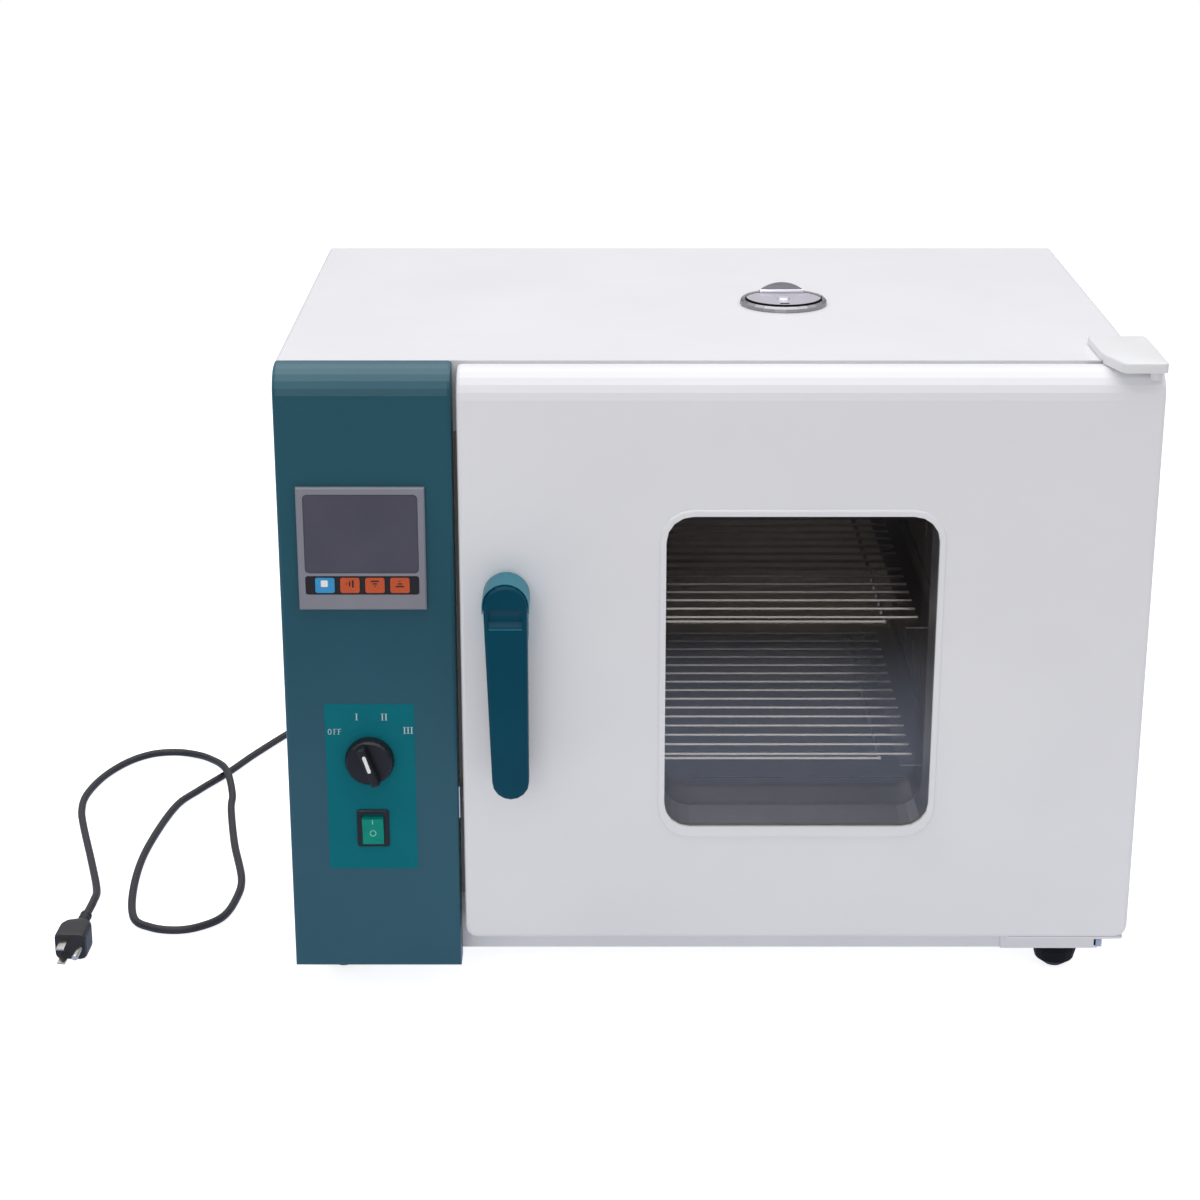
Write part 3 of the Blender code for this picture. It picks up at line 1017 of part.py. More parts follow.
def make_controls():
    """Controller with its window and keys, fan switch with its knob, and the mains rocker."""
    back = PANEL_FRONT - GAP
    face = back - BEZEL_PROUD
    half = BEZEL / 2
    plate = block((CONTROLLER_X - half, CONTROLLER_X + half), (face, back),
                  (CONTROLLER_Z - half, CONTROLLER_Z + half))
    rounded(plate, BEZEL_EDGE, 1, None, lambda spot: spot.y < face + GAP)
    bezel = place("controller_bezel", plate, GREY_PLASTIC)
    glass_z = CONTROLLER_Z + half - BEZEL_MARGIN - DISPLAY_HEIGHT / 2
    cut(bezel, prism(CONTROLLER_X, face - OVERRUN, glass_z, DISPLAY_WIDTH + 2 * GAP, DISPLAY_HEIGHT + 2 * GAP,
                     BEZEL_CORNER, OVERRUN + DISPLAY_DEPTH + GAP, 2),
        prism(CONTROLLER_X, face - OVERRUN, KEY_Z, DISPLAY_WIDTH + 2 * GAP, STRIP_HEIGHT, BEZEL_CORNER * 0.6,
              OVERRUN + KEY_DEPTH + KEY_TRAVEL + GAP, 2))
    place("display_window", prism(CONTROLLER_X, face + GAP, glass_z, DISPLAY_WIDTH, DISPLAY_HEIGHT,
                                  BEZEL_CORNER - GAP, DISPLAY_DEPTH - GAP, 2), SMOKED_WINDOW)
    square = BODY_SQUARE / 2
    box = block((CONTROLLER_X - square, CONTROLLER_X + square), (PANEL_FRONT, PANEL_FRONT + CONTROLLER_DEPTH),
                (CONTROLLER_Z - square, CONTROLLER_Z + square))
    place("controller_body", rounded(box, PANEL_EDGE * 0.9, 1, "Y"), BLACK_PLASTIC)
    for index, (name, surface) in enumerate((("set", BLUE_KEY), ("shift", ORANGE_KEY), ("down", ORANGE_KEY),
                                             ("up", ORANGE_KEY))):
        x = CONTROLLER_X + (index - 1.5) * KEY_PITCH
        key = prism(x, face, KEY_Z, KEY_WIDTH, KEY_HEIGHT, KEY_CORNER, KEY_DEPTH, 2)
        place("key_" + name, key, surface, (x, face, KEY_Z))

    knob_back = PANEL_FRONT - GAP
    skirt = KNOB_RADIUS
    profile = [(0, KNOB_LENGTH * 0.5), (skirt * 0.86, KNOB_LENGTH * 0.5), (skirt * 0.94, KNOB_LENGTH * 0.42),
               (skirt, KNOB_LENGTH * 0.2), (skirt, 0), (0, 0)]
    knob = turned("fan_knob", profile, BLACK_PLASTIC, (KNOB_X, knob_back, KNOB_Z), "Y")
    knob.rotation_euler = (math.pi / 2, 0, 0)
    grip = block((-KNOB_GRIP / 2, KNOB_GRIP / 2), (-KNOB_LENGTH, -KNOB_LENGTH * 0.3),
                 (-skirt * 0.88, skirt * 0.88))
    rounded(grip, KNOB_GRIP * 0.2, 2, None, lambda spot: spot.y < -KNOB_LENGTH * 0.6)
    bmesh.ops.rotate(grip, matrix=Matrix.Rotation(-KNOB_REST, 3, "Y"), verts=grip.verts)
    bmesh.ops.translate(grip, vec=(KNOB_X, knob_back, KNOB_Z), verts=grip.verts)
    weld(knob, grip)
    cut(knob, rod((KNOB_X, knob_back - SPINDLE_REACH - GAP, KNOB_Z), "Y", SPINDLE_REACH + OVERRUN,
                  SPINDLE + GAP, sides=12))
    switch_face = PANEL_FRONT + SHEET + GAP
    square = SWITCH_BODY / 2
    body = rounded(block((KNOB_X - square, KNOB_X + square), (switch_face, switch_face + SWITCH_DEPTH),
                         (KNOB_Z - square, KNOB_Z + square)), PANEL_EDGE, 1, "Y")
    switch = place("rotary_switch", body, BLACK_PLASTIC)
    weld(switch, rod((KNOB_X, PANEL_FRONT, KNOB_Z), "Y", SHEET + GAP + WELD, SPINDLE_NECK, sides=16),
         rod((KNOB_X, knob_back - SPINDLE_REACH, KNOB_Z), "Y", SPINDLE_REACH + GAP + WELD, SPINDLE, sides=12))
    carry(pivot("knob_axis", (KNOB_X, knob_back, KNOB_Z)), knob)

    flange_face = PANEL_FRONT - GAP - ROCKER_PROUD
    flange = prism(ROCKER_X, flange_face, ROCKER_Z, ROCKER_WIDTH, ROCKER_HEIGHT, ROCKER_CORNER,
                   ROCKER_PROUD, 1)
    rounded(flange, BEZEL_EDGE, 1, None, lambda spot: spot.y < flange_face + GAP)
    housing = place("rocker_housing", flange, BLACK_PLASTIC)
    weld(housing, prism(ROCKER_X, PANEL_FRONT - GAP - WELD, ROCKER_Z, ROCKER_BODY_WIDTH, ROCKER_BODY_HEIGHT,
                        ROCKER_CORNER, ROCKER_DEPTH, 1))
    well = ROCKER_KEY_HEIGHT / 2 + ROCKER_SWING
    side = ROCKER_KEY / 2 + GAP
    cut(housing, block((ROCKER_X - side, ROCKER_X + side),
                       (flange_face - OVERRUN, flange_face + ROCKER_WELL), (ROCKER_Z - well, ROCKER_Z + well)))
    axis_y = flange_face + ROCKER_AXIS
    rise = ROCKER_KEY_HEIGHT / 2
    crest = ROCKER_AXIS + ROCKER_PROUD * 0.6
    rocker = bmesh.new()
    tip = -crest - rise * ROCKER_DISH_SHARE
    outline = [(-crest, 0), (tip, rise), (crest * 0.3, rise * 0.9), (crest * 1.1, 0),
               (crest * 0.3, -rise * 0.9), (tip, -rise)]
    cheek = rocker.faces.new([rocker.verts.new((-ROCKER_KEY / 2, y, z)) for y, z in outline])
    grown = bmesh.ops.extrude_face_region(rocker, geom=[cheek])["geom"]
    moved = [item for item in grown if isinstance(item, bmesh.types.BMVert)]
    bmesh.ops.translate(rocker, vec=(ROCKER_KEY, 0, 0), verts=moved)
    bmesh.ops.recalc_face_normals(rocker, faces=rocker.faces)
    bmesh.ops.rotate(rocker, matrix=Matrix.Rotation(ROCKER_TILT, 3, "X"), verts=rocker.verts)
    bmesh.ops.translate(rocker, vec=(ROCKER_X, axis_y, ROCKER_Z), verts=rocker.verts)
    place("rocker", rocker, GREEN_PLASTIC, (ROCKER_X, axis_y, ROCKER_Z))

    floor = BOTTOM + SHEET + GAP
    left = TERMINAL_X - TERMINAL_LENGTH / 2
    near = TERMINAL_Y - TERMINAL_WIDTH / 2
    rail = block((left, left + TERMINAL_LENGTH), (near, near + TERMINAL_WIDTH),
                 (floor, floor + TERMINAL_HEIGHT))
    rounded(rail, BEZEL_EDGE, 1, "X", lambda spot: spot.z > floor + GAP)
    terminal = place("terminal_block", rail, WHITE_PLASTIC)
    step = TERMINAL_LENGTH / TERMINALS
    wells = [rod((left + step * (index + 0.5), TERMINAL_Y, floor + TERMINAL_HEIGHT * 0.6), "Z",
                 TERMINAL_HEIGHT, step * 0.3, sides=6) for index in range(TERMINALS)]
    cut(terminal, together(wells))


def make_lead():
    """Strain relief in the rear panel, the mains lead along the bench, and its three-pin plug."""
    outside = BACK_PANEL + SHEET + GAP
    taper = GLAND_LENGTH
    nut = -SHEET - 2 * GAP
    profile = [(0, taper), (LEAD_RADIUS * 1.25, taper), (LEAD_RADIUS * 1.45, taper * 0.5),
               (LEAD_RADIUS * 1.9, taper * 0.16), (GLAND_FLANGE, taper * 0.14), (GLAND_FLANGE, 0),
               (GLAND_NECK, 0), (GLAND_NECK, nut), (GLAND_FLANGE * 0.9, nut), (GLAND_FLANGE * 0.9, nut * 3),
               (0, nut * 3)]
    turned("cord_gland", profile, BLACK_PLASTIC, (GLAND_X, outside, GLAND_Z), "Y", 12)
    run, length = smooth_run([Vector(point) * MM for point in LEAD_ROUTE], LEAD_RADIUS * 2 * LEAD_STEP_SHARE)
    print(f"Mains lead: {length:.3f} m in {len(run)} points")
    tube("power_cord", run, LEAD_RADIUS, BLACK_PVC)

    end = run[-1]
    heading = (run[-1] - run[-2]).normalized()
    heading.z = 0
    heading.normalize()
    round_off = LEAD_RADIUS * 1.3
    rib, dip = LEAD_RADIUS * 2.9, LEAD_RADIUS * 2.3
    sections = [((0, 0, 0), rib, rib, rib * 0.49)]
    for index in range(3):
        here = PLUG_RIB * (index + 1)
        size = (rib, dip)[index % 2]
        other = (dip, rib)[index % 2]
        sections.append(((0, here - PLUG_RIB * 0.35, 0), size, size, size * 0.49))
        sections.append(((0, here, 0), other, other, other * 0.49))
    tail = PLUG_RIB * 5
    sections += [((0, tail, 0), rib * 1.1, rib * 1.1, rib * 0.5),
                 ((0, PLUG_LENGTH * 0.48, 0), PLUG_WIDTH * 0.85, PLUG_HEIGHT * 0.86, round_off),
                 ((0, PLUG_LENGTH * 0.62, 0), PLUG_WIDTH, PLUG_HEIGHT, round_off),
                 ((0, PLUG_LENGTH * 0.96, 0), PLUG_WIDTH, PLUG_HEIGHT, round_off),
                 ((0, PLUG_LENGTH, 0), PLUG_WIDTH * 0.94, PLUG_HEIGHT * 0.94, round_off)]
    spin = Matrix.Rotation(math.atan2(-heading.x, heading.y), 4, "Z")
    spot = Matrix.Translation(end + heading * 2 * GAP) @ spin
    body = loft(sections, 3)
    bmesh.ops.transform(body, matrix=spot, verts=body.verts)
    plug = place("plug", body, BLACK_PVC)
    pins = []
    for side in (-1, 1):
        z = side * BLADE_PITCH / 2
        pins.append(rounded(block((BLADE_OFFSET - PIN_BLADE / 2, BLADE_OFFSET + PIN_BLADE / 2),
                                  (PLUG_LENGTH - WELD, PLUG_LENGTH + PIN_LENGTH),
                                  (z - PIN_SHEET / 2, z + PIN_SHEET / 2)), PIN_SHEET, 1, "Z",
                            lambda spot: spot.y > PLUG_LENGTH + GAP))
    pins.append(rod((-GROUND_OFFSET, PLUG_LENGTH - WELD, 0), "Y", PIN_LENGTH * 1.15, PIN_GROUND, sides=12))
    tips = together(pins)
    bmesh.ops.transform(tips, matrix=spot, verts=tips.verts)
    weld(plug, tips)


def make_door():
    """Door skin, inner panel, glazing, insulation and seal, all hung on the hinge line."""
    skin = tray((DOOR_LEFT, DOOR_RIGHT), (DOOR_FRONT, DOOR_BACK), (DOOR_BOTTOM, DOOR_TOP), DOOR_BEND,
                DOOR_CORNER, DOOR_EDGE)
    shell = place("door_shell", skin, WHITE_PAINT)
    sheet(shell, SHEET)
    lift = (RIM_DROP - RIM_WIDTH) / 2
    rim = prism(WINDOW_X, DOOR_FRONT - RIM_PROUD, WINDOW_Z - lift, WINDOW_WIDTH + 2 * RIM_WIDTH,
                WINDOW_HEIGHT + RIM_WIDTH + RIM_DROP, WINDOW_CORNER + RIM_WIDTH, RIM_PROUD + WELD, 4)
    rounded(rim, RIM_PROUD * 0.8, 2, None, lambda spot: spot.y < DOOR_FRONT - RIM_PROUD + GAP)
    weld(shell, rim)
    reach = SHEET + 2 * OVERRUN
    cut(shell, prism(WINDOW_X, DOOR_FRONT - RIM_PROUD - OVERRUN, WINDOW_Z, WINDOW_WIDTH, WINDOW_HEIGHT,
                     WINDOW_CORNER, RIM_PROUD + reach, 4),
        rod((HINGE_X, HINGE_Y, DOOR_BOTTOM - OVERRUN), "Z", reach, HINGE_PIN + GAP, sides=12),
        rod((HINGE_X, HINGE_Y, DOOR_TOP - UPPER_PIN_DROP), "Z", UPPER_PIN_DROP + OVERRUN, HINGE_PIN + GAP,
            sides=12),
        rod((DOOR_LEFT - OVERRUN, LATCH_Y, LATCH_Z), "X", reach, LATCH_RADIUS + GAP, sides=12))

    flange = DOOR_BACK - INNER_PANEL_RECESS
    seat = SHEET + GAP
    wide, tall = DOOR_RIGHT - DOOR_LEFT, DOOR_TOP - DOOR_BOTTOM
    middle = ((DOOR_LEFT + DOOR_RIGHT) / 2, flange, (DOOR_BOTTOM + DOOR_TOP) / 2)
    plug_wide, plug_tall = LINER_WIDTH - 2 * PLUG_CLEARANCE, LINER_HEIGHT - 2 * PLUG_CLEARANCE
    tip = FRONT + PLUG_DEPTH
    stack = [(middle, wide - 2 * seat, tall - 2 * seat - SHEET, DOOR_CORNER - seat),
             ((LINER_MIDDLE, flange, LINER_CENTRE), plug_wide, plug_tall, DOOR_CORNER),
             ((LINER_MIDDLE, tip, LINER_CENTRE), plug_wide, plug_tall, DOOR_CORNER),
             ((WINDOW_X, tip, WINDOW_Z), WINDOW_WIDTH, WINDOW_HEIGHT, WINDOW_CORNER)]
    inner = place("door_inner_panel", loft(stack, 4, (False, False)), STAINLESS)
    sheet(inner, INNER_SHEET, 1)

    glass_front = DOOR_FRONT + SHEET + GAP
    pane = (WINDOW_WIDTH + 2 * GLASS_LAP, WINDOW_HEIGHT + 2 * GLASS_LAP, WINDOW_CORNER)
    outer_pane = place("outer_glass", prism(WINDOW_X, glass_front, WINDOW_Z, *pane, GLASS), CLEAR_GLASS)
    inner_glass = tip - INNER_SHEET - GAP - GLASS
    inner_pane = place("inner_glass", prism(WINDOW_X, inner_glass, WINDOW_Z, *pane, GLASS), CLEAR_GLASS)
    tunnel_front = glass_front + GLASS + GAP
    tunnel_back = inner_glass - GAP
    lipped = [((WINDOW_X, tunnel_front, WINDOW_Z), WINDOW_WIDTH, WINDOW_HEIGHT, WINDOW_CORNER),
              ((WINDOW_X, tunnel_back, WINDOW_Z), WINDOW_WIDTH, WINDOW_HEIGHT, WINDOW_CORNER),
              ((WINDOW_X, tunnel_back, WINDOW_Z), *pane)]
    frame = place("window_frame", loft(lipped, 4, (False, False)), ALUMINIUM)
    sheet(frame, INNER_SHEET, 1)

    wool_left = DOOR_LEFT + LATCH_ROOM
    wool_right = HINGE_X - HINGE_PIN - 2 * SHEET
    wool = place("door_insulation", block((wool_left, wool_right),
                                          (tunnel_front + GAP, flange - INNER_SHEET - GAP),
                                          (DOOR_BOTTOM + LOWER_PIN_RISE + GAP, DOOR_TOP - DOOR_BEND)), WOOL)
    around = 2 * (INNER_SHEET + GAP)
    cut(wool, prism(WINDOW_X, tunnel_front - OVERRUN, WINDOW_Z, WINDOW_WIDTH + around,
                    WINDOW_HEIGHT + around, WINDOW_CORNER, DOOR_THICKNESS, 4))

    seal_back = FRONT - LINER_SHEET - 2 * GAP
    seal_front = flange + GAP
    seal_wide, seal_tall = LINER_WIDTH + 2 * GASKET_INSET, LINER_HEIGHT + 2 * GASKET_INSET
    corner = LINER_CORNER + GASKET_INSET
    ends = 2 * GASKET_WIDTH
    seal = [((LINER_MIDDLE, seal_front, LINER_CENTRE), seal_wide, seal_tall, corner),
            ((LINER_MIDDLE, seal_front, LINER_CENTRE), seal_wide + ends, seal_tall + ends,
             corner + GASKET_WIDTH),
            ((LINER_MIDDLE, (seal_front + seal_back) / 2, LINER_CENTRE), seal_wide + ends, seal_tall + ends,
             corner + GASKET_WIDTH),
            ((LINER_MIDDLE, seal_back, LINER_CENTRE), seal_wide + ends / 2, seal_tall + ends / 2,
             corner + GASKET_WIDTH / 2),
            ((LINER_MIDDLE, seal_front, LINER_CENTRE), seal_wide, seal_tall, corner)]
    gasket = place("door_gasket", welded_loop(seal), GREY_SILICONE)
    return shell, inner, outer_pane, inner_pane, frame, wool, gasket


def welded_loop(sections):
    """A loft whose last ring lies on its first, closed into a solid hoop."""
    shape = loft(sections, 4, (False, False))
    bmesh.ops.remove_doubles(shape, verts=shape.verts, dist=MERGE)
    bmesh.ops.recalc_face_normals(shape, faces=shape.faces)
    return shape


def make_handle():
    """Fixed base with its knuckle and pin, the pull lever, and the sprung catch in the door's edge."""
    back = DOOR_FRONT - GAP
    half = HANDLE_TOP_WIDTH / 2
    boss = prism(HANDLE_X, back - BASE_THICKNESS, HANDLE_TOP - BASE_LENGTH / 2, HANDLE_TOP_WIDTH, BASE_LENGTH,
                 half * 0.98, BASE_THICKNESS, 5)
    base = place("handle_base", boss, TEAL_PLASTIC)
    eye_left = HANDLE_X - KNUCKLE_WIDTH / 2
    neck = block((eye_left, eye_left + KNUCKLE_WIDTH), (PIVOT_Y, back - BASE_THICKNESS + WELD),
                 (PIVOT_Z - KNUCKLE * 0.9, PIVOT_Z + KNUCKLE * 0.5))
    eye = rod((eye_left, PIVOT_Y, PIVOT_Z), "X", KNUCKLE_WIDTH, KNUCKLE, sides=20)
    pin_left = HANDLE_X - half + HANDLE_EDGE * 2
    pin_length = HANDLE_TOP_WIDTH - HANDLE_EDGE * 4
    pin = rod((pin_left, PIVOT_Y, PIVOT_Z), "X", pin_length, HINGE_PIN, sides=12)
    weld(base, neck, eye, pin)

    lever = bmesh.new()
    low_half = HANDLE_END_WIDTH / 2
    outline = []
    for step in range(9):
        angle = math.pi * step / 8
        outline.append((half * math.cos(angle), HANDLE_TOP - half + half * math.sin(angle)))
    shift = half - low_half
    for step in range(9):
        angle = math.pi + math.pi * step / 8
        outline.append((shift + low_half * math.cos(angle), HANDLE_BOTTOM + low_half + low_half * math.sin(angle)))
    face = lever.faces.new([lever.verts.new((HANDLE_X + x, HANDLE_FRONT, z)) for x, z in outline])
    grown = bmesh.ops.extrude_face_region(lever, geom=[face])["geom"]
    moved = [item for item in grown if isinstance(item, bmesh.types.BMVert)]
    bmesh.ops.translate(lever, vec=(0, HANDLE_THICKNESS, 0), verts=moved)
    bmesh.ops.recalc_face_normals(lever, faces=lever.faces)
    rounded(lever, HANDLE_EDGE, 2, None, lambda spot: spot.y < HANDLE_FRONT + GAP)
    grip = place("handle_lever", lever, TEAL_PLASTIC, (HANDLE_X, PIVOT_Y, PIVOT_Z))
    barrel = rod((HANDLE_X - half + HANDLE_EDGE, PIVOT_Y, PIVOT_Z), "X",
                 HANDLE_TOP_WIDTH - 2 * HANDLE_EDGE, BARREL, sides=16)
    weld(grip, barrel)
    pocket = KNUCKLE_WIDTH / 2 + GAP
    cut(grip, rod((HANDLE_X - pocket, PIVOT_Y, PIVOT_Z), "X", 2 * pocket, KNUCKLE + GAP, sides=20),
        block((HANDLE_X - pocket, HANDLE_X + pocket), (PIVOT_Y, PIVOT_Y + HANDLE_PIVOT + OVERRUN),
              (PIVOT_Z - KNUCKLE * 1.6, PIVOT_Z + KNUCKLE * 1.2)),
        rod((pin_left - GAP, PIVOT_Y, PIVOT_Z), "X", pin_length + 2 * GAP, HINGE_PIN + GAP, sides=12))
    scoop = SCOOP_HEIGHT / 2
    radius = (scoop * scoop + SCOOP_DEPTH * SCOOP_DEPTH) / (2 * SCOOP_DEPTH)
    hollow = (HANDLE_X - half + SCOOP_MARGIN, HANDLE_FRONT + SCOOP_DEPTH - radius,
              HANDLE_TOP - SCOOP_DROP)
    cut(grip, rod(hollow, "X", HANDLE_TOP_WIDTH - 2 * SCOOP_MARGIN, radius, sides=40))

    bar = LATCH_RADIUS
    profile = [(0, LATCH_LENGTH), (bar, LATCH_LENGTH), (bar, bar * 0.6), (bar * 0.8, bar * 0.22),
               (bar * 0.45, 0), (0, 0)]
    bolt = turned("latch_bolt", profile, STAINLESS, (DOOR_LEFT - LATCH_PROUD, LATCH_Y, LATCH_Z), "X", 12)
    return base, grip, bolt


def build():
    make_cabinet()
    make_feet()
    make_liner()
    make_insulation()
    make_heater()
    make_probe()
    make_fan()
    make_shelves()
    make_vent()
    make_hinges()
    make_controls()
    make_lead()
    door = make_door()
    base, grip, bolt = make_handle()
    carry(pivot("door_hinge", (HINGE_X, HINGE_Y, (DOOR_BOTTOM + DOOR_TOP) / 2)), *door, base, bolt)
    carry(pivot("handle_axis", (HANDLE_X, PIVOT_Y, PIVOT_Z)), grip)


build()
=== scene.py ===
# %% [markdown]
# A bench convection drying oven: a white sheet-metal cabinet, a teal control column on its left,
# and a white door with a window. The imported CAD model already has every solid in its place, so
# this script only dresses it: it gives each piece its real finish, and adds what is too small for
# the solids, such as printed marks, screws and the metal pins of the plug.
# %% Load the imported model
import json
import math

import bmesh
import bpy
from mathutils import Matrix, Vector
from mathutils.bvhtree import BVHTree


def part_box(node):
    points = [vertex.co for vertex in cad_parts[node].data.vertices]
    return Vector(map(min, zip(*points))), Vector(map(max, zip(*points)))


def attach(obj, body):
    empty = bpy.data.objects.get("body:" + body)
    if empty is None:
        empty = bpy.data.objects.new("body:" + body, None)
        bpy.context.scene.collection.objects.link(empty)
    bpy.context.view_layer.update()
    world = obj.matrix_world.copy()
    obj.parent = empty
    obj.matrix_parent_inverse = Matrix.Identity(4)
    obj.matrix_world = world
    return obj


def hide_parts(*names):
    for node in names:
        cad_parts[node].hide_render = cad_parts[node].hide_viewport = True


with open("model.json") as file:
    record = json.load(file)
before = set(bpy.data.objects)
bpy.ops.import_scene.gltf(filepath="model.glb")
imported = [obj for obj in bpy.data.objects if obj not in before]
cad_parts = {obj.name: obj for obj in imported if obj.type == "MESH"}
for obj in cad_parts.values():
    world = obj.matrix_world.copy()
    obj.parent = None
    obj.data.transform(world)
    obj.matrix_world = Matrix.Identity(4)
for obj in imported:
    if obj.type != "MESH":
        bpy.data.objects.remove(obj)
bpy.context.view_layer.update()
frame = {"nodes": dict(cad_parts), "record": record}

MM = 0.001
nodes = frame["nodes"]

# %% [markdown]
# The photograph was taken from the front, a little left of the oven's middle and about 19 degrees
# from above, with a long lens. Upright edges stay nearly upright in such a view, and the top shows
# as a narrow band. The camera stands where the corners of the controller and of the window fall
# on the same pixels as in the photograph.
# %% Place the camera
LENS_MM = 76.83
FILM_MM = 36
CAMERA_SPOT_MM = (-87.35, -2027.3, 967)
CAMERA_PITCH = 19.26
lens = bpy.data.cameras.new("photo_camera")
lens.lens = LENS_MM
lens.sensor_width = FILM_MM
camera = bpy.data.objects.new("photo_camera", lens)
bpy.context.scene.collection.objects.link(camera)
camera.location = [place * MM for place in CAMERA_SPOT_MM]
camera.rotation_euler = (math.radians(90 - CAMERA_PITCH), 0, 0)
bpy.context.scene.camera = camera
print("camera", [round(value, 3) for value in camera.location])

# %% [markdown]
# A shader works in linear light, while a listed colour is an sRGB hex value. One function
# turns the one into the other. Another adds a node with its settings and its links, so that each
# finish below reads as a short list of what it is made of. The relief of every hard skin, whether
# painted, moulded or ground, is about 0.02 mm high.
# %% Helpers for colours and nodes
SKIN_HEIGHT = 0.02 * MM


def linear(code):
    """The linear RGBA values of an sRGB hex colour."""
    shares = [int(code[index:index + 2], 16) / 255 for index in (1, 3, 5)]
    return [s / 12.92 if s <= 0.04045 else ((s + 0.055) / 1.055) ** 2.4 for s in shares] + [1]


def add(tree, kind, settings=None, links=None):
    """Adds one node, gives its sockets or its own properties their values, and links its inputs."""
    made = tree.nodes.new(kind)
    for name, value in (settings or {}).items():
        if name in made.inputs:
            made.inputs[name].default_value = value
        else:
            setattr(made, name, value)
    for name, source in (links or {}).items():
        tree.links.new(source, made.inputs[name])
    return made


def blank(name):
    """A new material with its tree emptied down to an output, a shader and Object coordinates."""
    material = bpy.data.materials.new(name)
    material.use_nodes = True
    tree = material.node_tree
    return material, tree, tree.nodes["Principled BSDF"], add(tree, "ShaderNodeTexCoord").outputs["Object"]


def two_tone(tree, factor, first, second, low=0.3, high=0.7):
    """Runs a pattern between two colours that are close to each other."""
    ramp = add(tree, "ShaderNodeValToRGB", links={"Fac": factor})
    for stop, position, code in zip(ramp.color_ramp.elements, (low, high), (first, second)):
        stop.position = position
        stop.color = linear(code)
    return ramp.outputs["Color"]


def seen_directly(tree):
    """The outputs of a light path, and a value of 1 where the camera looks, also through glass."""
    path = add(tree, "ShaderNodeLightPath").outputs
    either = add(tree, "ShaderNodeMath", {"operation": "MAXIMUM"})
    tree.links.new(path["Is Camera Ray"], either.inputs[0])
    tree.links.new(path["Is Transmission Ray"], either.inputs[1])
    return path, either.outputs["Value"]


# %% [markdown]
# Powder coat is a paint that is sprayed on dry and melted in an oven. It flows out smooth, but
# keeps a faint orange peel: waves a couple of millimetres wide and a few microns high. That is
# what breaks up the edge of a highlight on the cabinet. The waves are drawn 4 mm wide, because
# finer ones would only be noise at this distance. The colour drifts a little over a hand's width.
# %% Powder coat
DRIFT_WIDTH = 120 * MM
PEEL_WIDTH = 4 * MM


def powder_coat(name, light, dark, gloss, peel):
    material, tree, shader, place = blank(name)
    drift = add(tree, "ShaderNodeTexNoise", {"Scale": 1 / DRIFT_WIDTH, "Detail": 2}, {"Vector": place})
    tree.links.new(two_tone(tree, drift.outputs["Fac"], dark, light), shader.inputs["Base Color"])
    waves = add(tree, "ShaderNodeTexNoise", {"Scale": 1 / PEEL_WIDTH, "Detail": 1}, {"Vector": place})
    dull = add(tree, "ShaderNodeMapRange", {"To Min": gloss, "To Max": gloss + 0.08},
               {"Value": waves.outputs["Fac"]})
    tree.links.new(dull.outputs["Result"], shader.inputs["Roughness"])
    skin = add(tree, "ShaderNodeBump", {"Strength": peel, "Distance": SKIN_HEIGHT},
               {"Height": waves.outputs["Fac"]})
    tree.links.new(skin.outputs["Normal"], shader.inputs["Normal"])
    shader.inputs["IOR"].default_value = 1.5
    return material


finishes = {
    "white_paint": powder_coat("white_powder_coat", "#EEEEF2", "#EAEAEF", 0.3, 0.5),
    "teal_paint": powder_coat("teal_powder_coat", "#225A6A", "#1F5566", 0.28, 0.5),
    "black_paint": powder_coat("black_stove_enamel", "#1D1E21", "#17181A", 0.5, 1.0),
}
print("powder coats:", sorted(finishes))

# %% [markdown]
# The knob, the keys, the handle, the bezel and the hinge cover are moulded. The mould was
# spark-eroded, so the plastic has a fine, even grain that spreads highlights. The handle and the
# rocker came from a polished mould and are nearly smooth. The grain is drawn 1 mm wide.
# %% Moulded plastics
GRAIN_WIDTH = 1 * MM


def moulded(name, light, dark, gloss, grain, spread=60, shine=0.5):
    material, tree, shader, place = blank(name)
    drift = add(tree, "ShaderNodeTexNoise", {"Scale": 1 / (spread * MM), "Detail": 3}, {"Vector": place})
    tree.links.new(two_tone(tree, drift.outputs["Fac"], dark, light), shader.inputs["Base Color"])
    spark = add(tree, "ShaderNodeTexNoise", {"Scale": 1 / GRAIN_WIDTH, "Detail": 2, "Roughness": 0.6},
                {"Vector": place})
    dull = add(tree, "ShaderNodeMapRange", {"To Min": gloss, "To Max": gloss + 0.1},
               {"Value": spark.outputs["Fac"]})
    tree.links.new(dull.outputs["Result"], shader.inputs["Roughness"])
    skin = add(tree, "ShaderNodeBump", {"Strength": grain, "Distance": SKIN_HEIGHT},
               {"Height": spark.outputs["Fac"]})
    tree.links.new(skin.outputs["Normal"], shader.inputs["Normal"])
    shader.inputs["IOR"].default_value = 1.53
    shader.inputs["Specular IOR Level"].default_value = shine
    return material


finishes.update({
    "white_plastic": moulded("white_abs", "#EBEBED", "#E5E5E8", 0.38, 0.5),
    "black_plastic": moulded("black_abs", "#1F1E25", "#18171D", 0.34, 0.6, 60, 0.4),
    "grey_plastic": moulded("grey_polycarbonate_bezel", "#8B8B96", "#84848F", 0.42, 0.6),
    "teal_plastic": moulded("teal_nylon_handle", "#04495E", "#034257", 0.2, 0.1, 60, 0.14),
    "green_plastic": moulded("green_translucent_rocker", "#0E9484", "#0B8A7D", 0.2, 0.05, 8, 0.12),
    "blue_key": moulded("blue_key_cap", "#2F9BD6", "#2A93CE", 0.4, 0.3, 10),
    "orange_key": moulded("orange_key_cap", "#CF5524", "#C74F20", 0.4, 0.3, 10),
})
print("with moulded plastics:", len(finishes))

